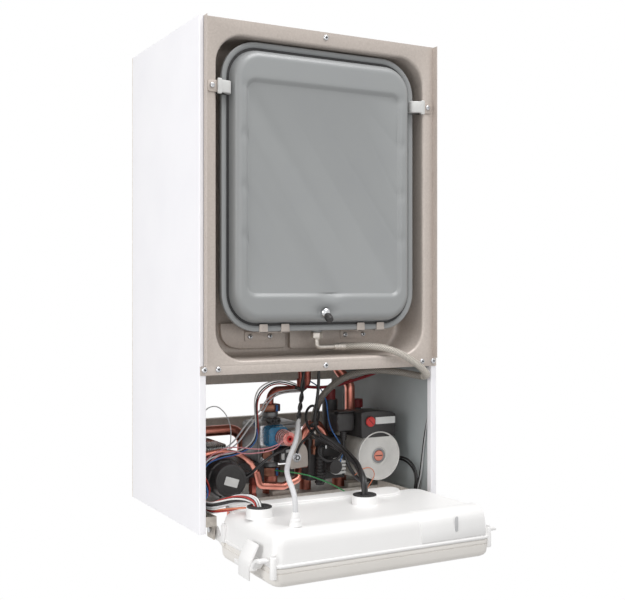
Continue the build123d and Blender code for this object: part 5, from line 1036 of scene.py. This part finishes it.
box_cover = Piece("control_box_shell")
outer = [(-10, 1.4), (-9.4, 0.4), (-8.8, 0), (-6.6, 0), (-5.8, 0.5), (-5.2, 1.3), (-3, 1.7), (16, 3.6), (22, 4.9),
         (26.4, 6.9), (30, 9.9), (32.6, 13.6), (34.2, 18), (34.9, 22.6), (35, 27)]
inner = [(32.4, 27), (31, 18), (26, 11), (18, 7.4), (-10, 3.2)]
shell = lofted("up", box_sections(inner + outer, 14, 14), steps=10)
box_cover.add(shell, white_abs)
strip = [(-161, 293.5), (106, 293.5), (115, 298), (117, 310), (110, 328), (94, 341), (66, 343), (50, 334),
         (42, 324), (-161, 320)]
ledge = level(strip, 30, 8.6, {2: 5, 3: 6, 4: 9, 5: 9, 6: 8, 7: 6, 8: 6}, 5)
box_cover.add(ledge, white_abs, 1.6, 3)
for x in GROMMETS:
    collar = [(-2, 19.2), (0.2, 18.4), (1.2, 18), (10.6, 18), (11.7, 17.5), (12, 16.8), (12, 15), (0, 15), (0, 0)]
    box_cover.add(upright(x, GROMMET_DEPTH, LID_TOP, collar, 48), white_abs)
for side in (-1, 1):
    box_cover.add(block((side * 166, side * 173), (304, 315), (-10, 13.6)), white_abs, 1.6, 3)
    box_cover.add(block((side * 166, side * 172), (305.5, 313.5), (12, 15.6)), white_abs, 1, 2)
hatch = [(436, 35.4), (447, 35.2), (455, 33), (461, 28.6), (464.6, 22), (466.6, 10), (467.4, -3.4), (465.4, -3.4),
         (462.6, 12), (459, 24), (453, 30), (436, 33.6)]
hatch_cover = fin(hatch, 52, 108, {1: 4, 2: 4, 3: 4, 4: 4})
box_cover.add(hatch_cover, white_abs, 0.5)
box_cover.add(plate(((107.5, 6), (112.5, 6), (112.5, 27), (107.5, 27)), 466.6, 0.6, 2.2), grey_abs, 0.2)
box_cover.done("control_box", "white_plastic", "control_box_cover")

box_base = Piece("control_box_tray")
low = [(-35, 20), (-35, 11), (-34.4, 7.4), (-32.8, 4.8), (-30, 3), (-26, 2.2), (-17.4, 1.6), (-17, 2.4), (-16, 2.4),
       (-15.6, 1.4), (-11.4, 1), (-10.4, 1.6), (-10, 2.6)]
tray = lofted("up", box_sections(low, 12, 10), steps=10)
box_base.add(tray, cream_abs)
for side in (-1, 1):
    arm = [(260, -12), (288, -14), (300, -18), (308, -18), (308, -10), (292, -6), (282, 6), (262, 7)]
    ear = fin(arm, side * 166, side * 3, {0: 6, 6: 5, 7: 6})
    box_base.add(ear, white_abs, 0.8)
    box_base.add(block((side * 166, side * 173), (304.5, 314.5), (-15, -10)), cream_abs, 1.2)
    post = [(0, 4), (0.6, 4.6), (26, 4.6), (27, 4), (27.4, 2.6), (30.6, 2.4), (31, 0)]
    box_base.add(upright(side * 168.5, 461, -23, post, 24), white_abs)
ring = [(0, 19), (0, 22), (2.2, 22), (3, 21.2), (3, 19.6), (2.4, 19), (1, 19), (1, 0)]
box_base.add(hanging(GAUGE_X, DIAL_DEPTH, TRAY_BOTTOM, ring, 56), white_abs)
# The marks round the gauge and the two dials: where, how far out, how many, from which angle, and their discs.
for middle, reach, count, first, step, height, radius, thick, sides in (
    (GAUGE_X, 15.5, 11, -135, 27, TRAY_BOTTOM - 0.9, 0.8, 0.25, 10),
    (-60, 21.5, 9, -120, 30, TRAY_BOTTOM + 0.1, 1.1, 0.35, 12),
    (0, 21.5, 9, -120, 30, TRAY_BOTTOM + 0.1, 1.1, 0.35, 12),
):
    for number in range(count):
        angle = radians(first + step * number)
        x, depth = middle + reach * sin(angle), DIAL_DEPTH + reach * cos(angle)
        gauge_ink = black_nylon if number % 5 else red_abs
        box_base.add(hanging(x, depth, height, disc(radius, thick), sides),
                     gauge_ink if middle == GAUGE_X else grey_abs)
box_base.done("control_box", "white_plastic", "control_box_base")

grommets = Piece("cable_grommets")
for x in GROMMETS:
    collar = [(0, 5.8), (0, 14.6), (11.6, 14.7), (12, 16.6), (12.6, 17), (13.6, 16.6), (14, 15.6), (13.8, 13.4),
            (13, 11.4), (12.6, 8), (13.4, 6.2), (13, 5.8), (0, 5.8)]
    grommets.add(upright(x, GROMMET_DEPTH, LID_TOP, collar, 48), rubber)
grommets.done("control_box", "black_rubber", "cable_entries")

gland = Piece("mains_gland")
cone = [(-2.5, 7), (0, 7), (0, 8.8), (0.8, 9), (1.6, 8.4), (5, 7.6), (5.4, 7), (6.4, 6.9), (6.8, 7.2), (10, 6.4),
        (10.4, 5.9), (11.4, 5.8), (11.8, 6.1), (16.6, 5), (18, 4.6), (18, 3.7), (-2.5, 3.7), (-2.5, 7)]
gland.add(upright(-126, 440, LID_TOP, cone, 40), white_abs)
gland.done("control_box", "white_plastic")

clips = Piece("latch_levers")
for side in (-1, 1):
    wing = [(189.2, -29), (187, -30), (186.6, -12), (174, 13.4), (176.2, 15.8), (189.2, -8)]
    lever = plate(wing, 400, 32, {0: 1, 1: 1, 2: 3, 3: 1, 4: 1, 5: 4}, side=side)
    clips.add(lever, white_abs, 0.8)
    bar = [(185.6, 384), (189, 386), (189.2, 428), (185, 436), (179, 436), (184.6, 426)]
    clips.add(level(bar, -17, 5, {0: 1, 1: 2, 2: 4, 3: 3, 5: 3}, side=side), white_abs, 0.7)
    strap = [(424, -17), (431, -17), (438, -11), (445, -3), (458, -2.4), (458, 1.2), (443, 1), (434, -7), (426, -12)]
    rise = fin(strap, side * 172, side * 14, {1: 3, 2: 3, 3: 4, 6: 4, 7: 3})
    clips.add(rise, white_abs, 0.7)
clips.done("control_box", "white_plastic", "latch_clips")

# ======== Finishes of the parts that keep their own shape ========

for material, names in (
    (aged_zinc, "bottom_frame chamber_box combustion_chamber"),
    # The rear frame takes the near-white sheet: painted light for the lit band at the back.
    (painted_light_zinc, "rear_frame"),
    (galvanised, "flue_collar"),
    (tank_paint, "vessel_rear_shell"),
    (rubber, "vessel_diaphragm"),
    (fibre_board, "chamber_insulation"),
    (stainless, "burner flue_hood fan_housing fan_impeller pump_rotor"),
    (copper, "heat_exchanger heating_pipes small_pipes pipe_tails"),
    (burnt_copper, "gas_pipe"),
    (brass, "diverter_stem"),
    (black_nylon, "pressure_switch return_block air_vent gauge_needle"),
    (cast_iron, "pump_volute flow_block"),
    (dark_red, "air_vent_cap relief_knob"),
    (grey_abs, "heating_knob hot_water_knob"),
    (solder_mask, "circuit_board"),
    (zinc, "hinge_pins"),
):
    for name in names.split():
        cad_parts[name].material_slots[0].material = material

# ======== Stage and light ========

floor = bpy.data.meshes.new("floor")
plane = bmesh.new()
bmesh.ops.create_grid(plane, x_segments=1, y_segments=1, size=12, matrix=Matrix.Translation((0, 0, -1.45)))
plane.to_mesh(floor)
plane.free()
linked("floor", floor)


def seen_white(tree, lit, strength, output):
    """Shows plain white to the camera and to reflections, and the lit surface or sky to everything else."""
    rays = add(tree, "LightPath").outputs
    seen = maths(tree, "MAXIMUM", rays["Is Camera Ray"], rays["Is Glossy Ray"])
    seen = maths(tree, "MAXIMUM", seen, rays["Is Transmission Ray"])
    white = add(tree, "Background" if output.bl_idname.endswith("World") else "Emission",
                {"Color": (1, 1, 1, 1), "Strength": strength})
    choice = add(tree, "MixShader", {}, {0: seen, 1: lit.outputs[0], 2: white.outputs[0]})
    tree.links.new(choice.outputs[0], output.inputs["Surface"])


pale = bpy.data.materials.new("pale_floor")
pale.use_nodes = True
seen_white(pale.node_tree, add(pale.node_tree, "BsdfDiffuse", {"Color": (0.55, 0.55, 0.55, 1)}), 1.0,
           pale.node_tree.nodes["Material Output"])
floor.materials.append(pale)

world = bpy.data.worlds.new("studio")
world.use_nodes = True
bpy.context.scene.world = world
sky = world.node_tree.nodes["Background"]
sky.inputs["Color"].default_value = (1, 1, 1, 1)
sky.inputs["Strength"].default_value = 0.5
seen_white(world.node_tree, sky, 1.0, world.node_tree.nodes["World Output"])


def softbox(name, place, aim, size, power):
    """A square lamp that looks at a point."""
    lamp = bpy.data.lights.new(name, "AREA")
    lamp.size = size
    lamp.energy = power
    body = linked(name, lamp)
    body.location = place
    body.rotation_euler = (Vector(aim) - Vector(place)).to_track_quat("-Z", "Y").to_euler()


softbox("overhead", (0.4, -1.4, 2.2), (0, -0.25, -0.45), 1.8, 64)
softbox("left", (-2.8, -0.7, 0.2), (-0.2, -0.15, -0.35), 1.6, 37)
softbox("fill", (-0.9, -2.8, -0.35), (0, -0.15, -0.5), 2.0, 9)

bpy.context.scene.view_settings.view_transform = "Standard"
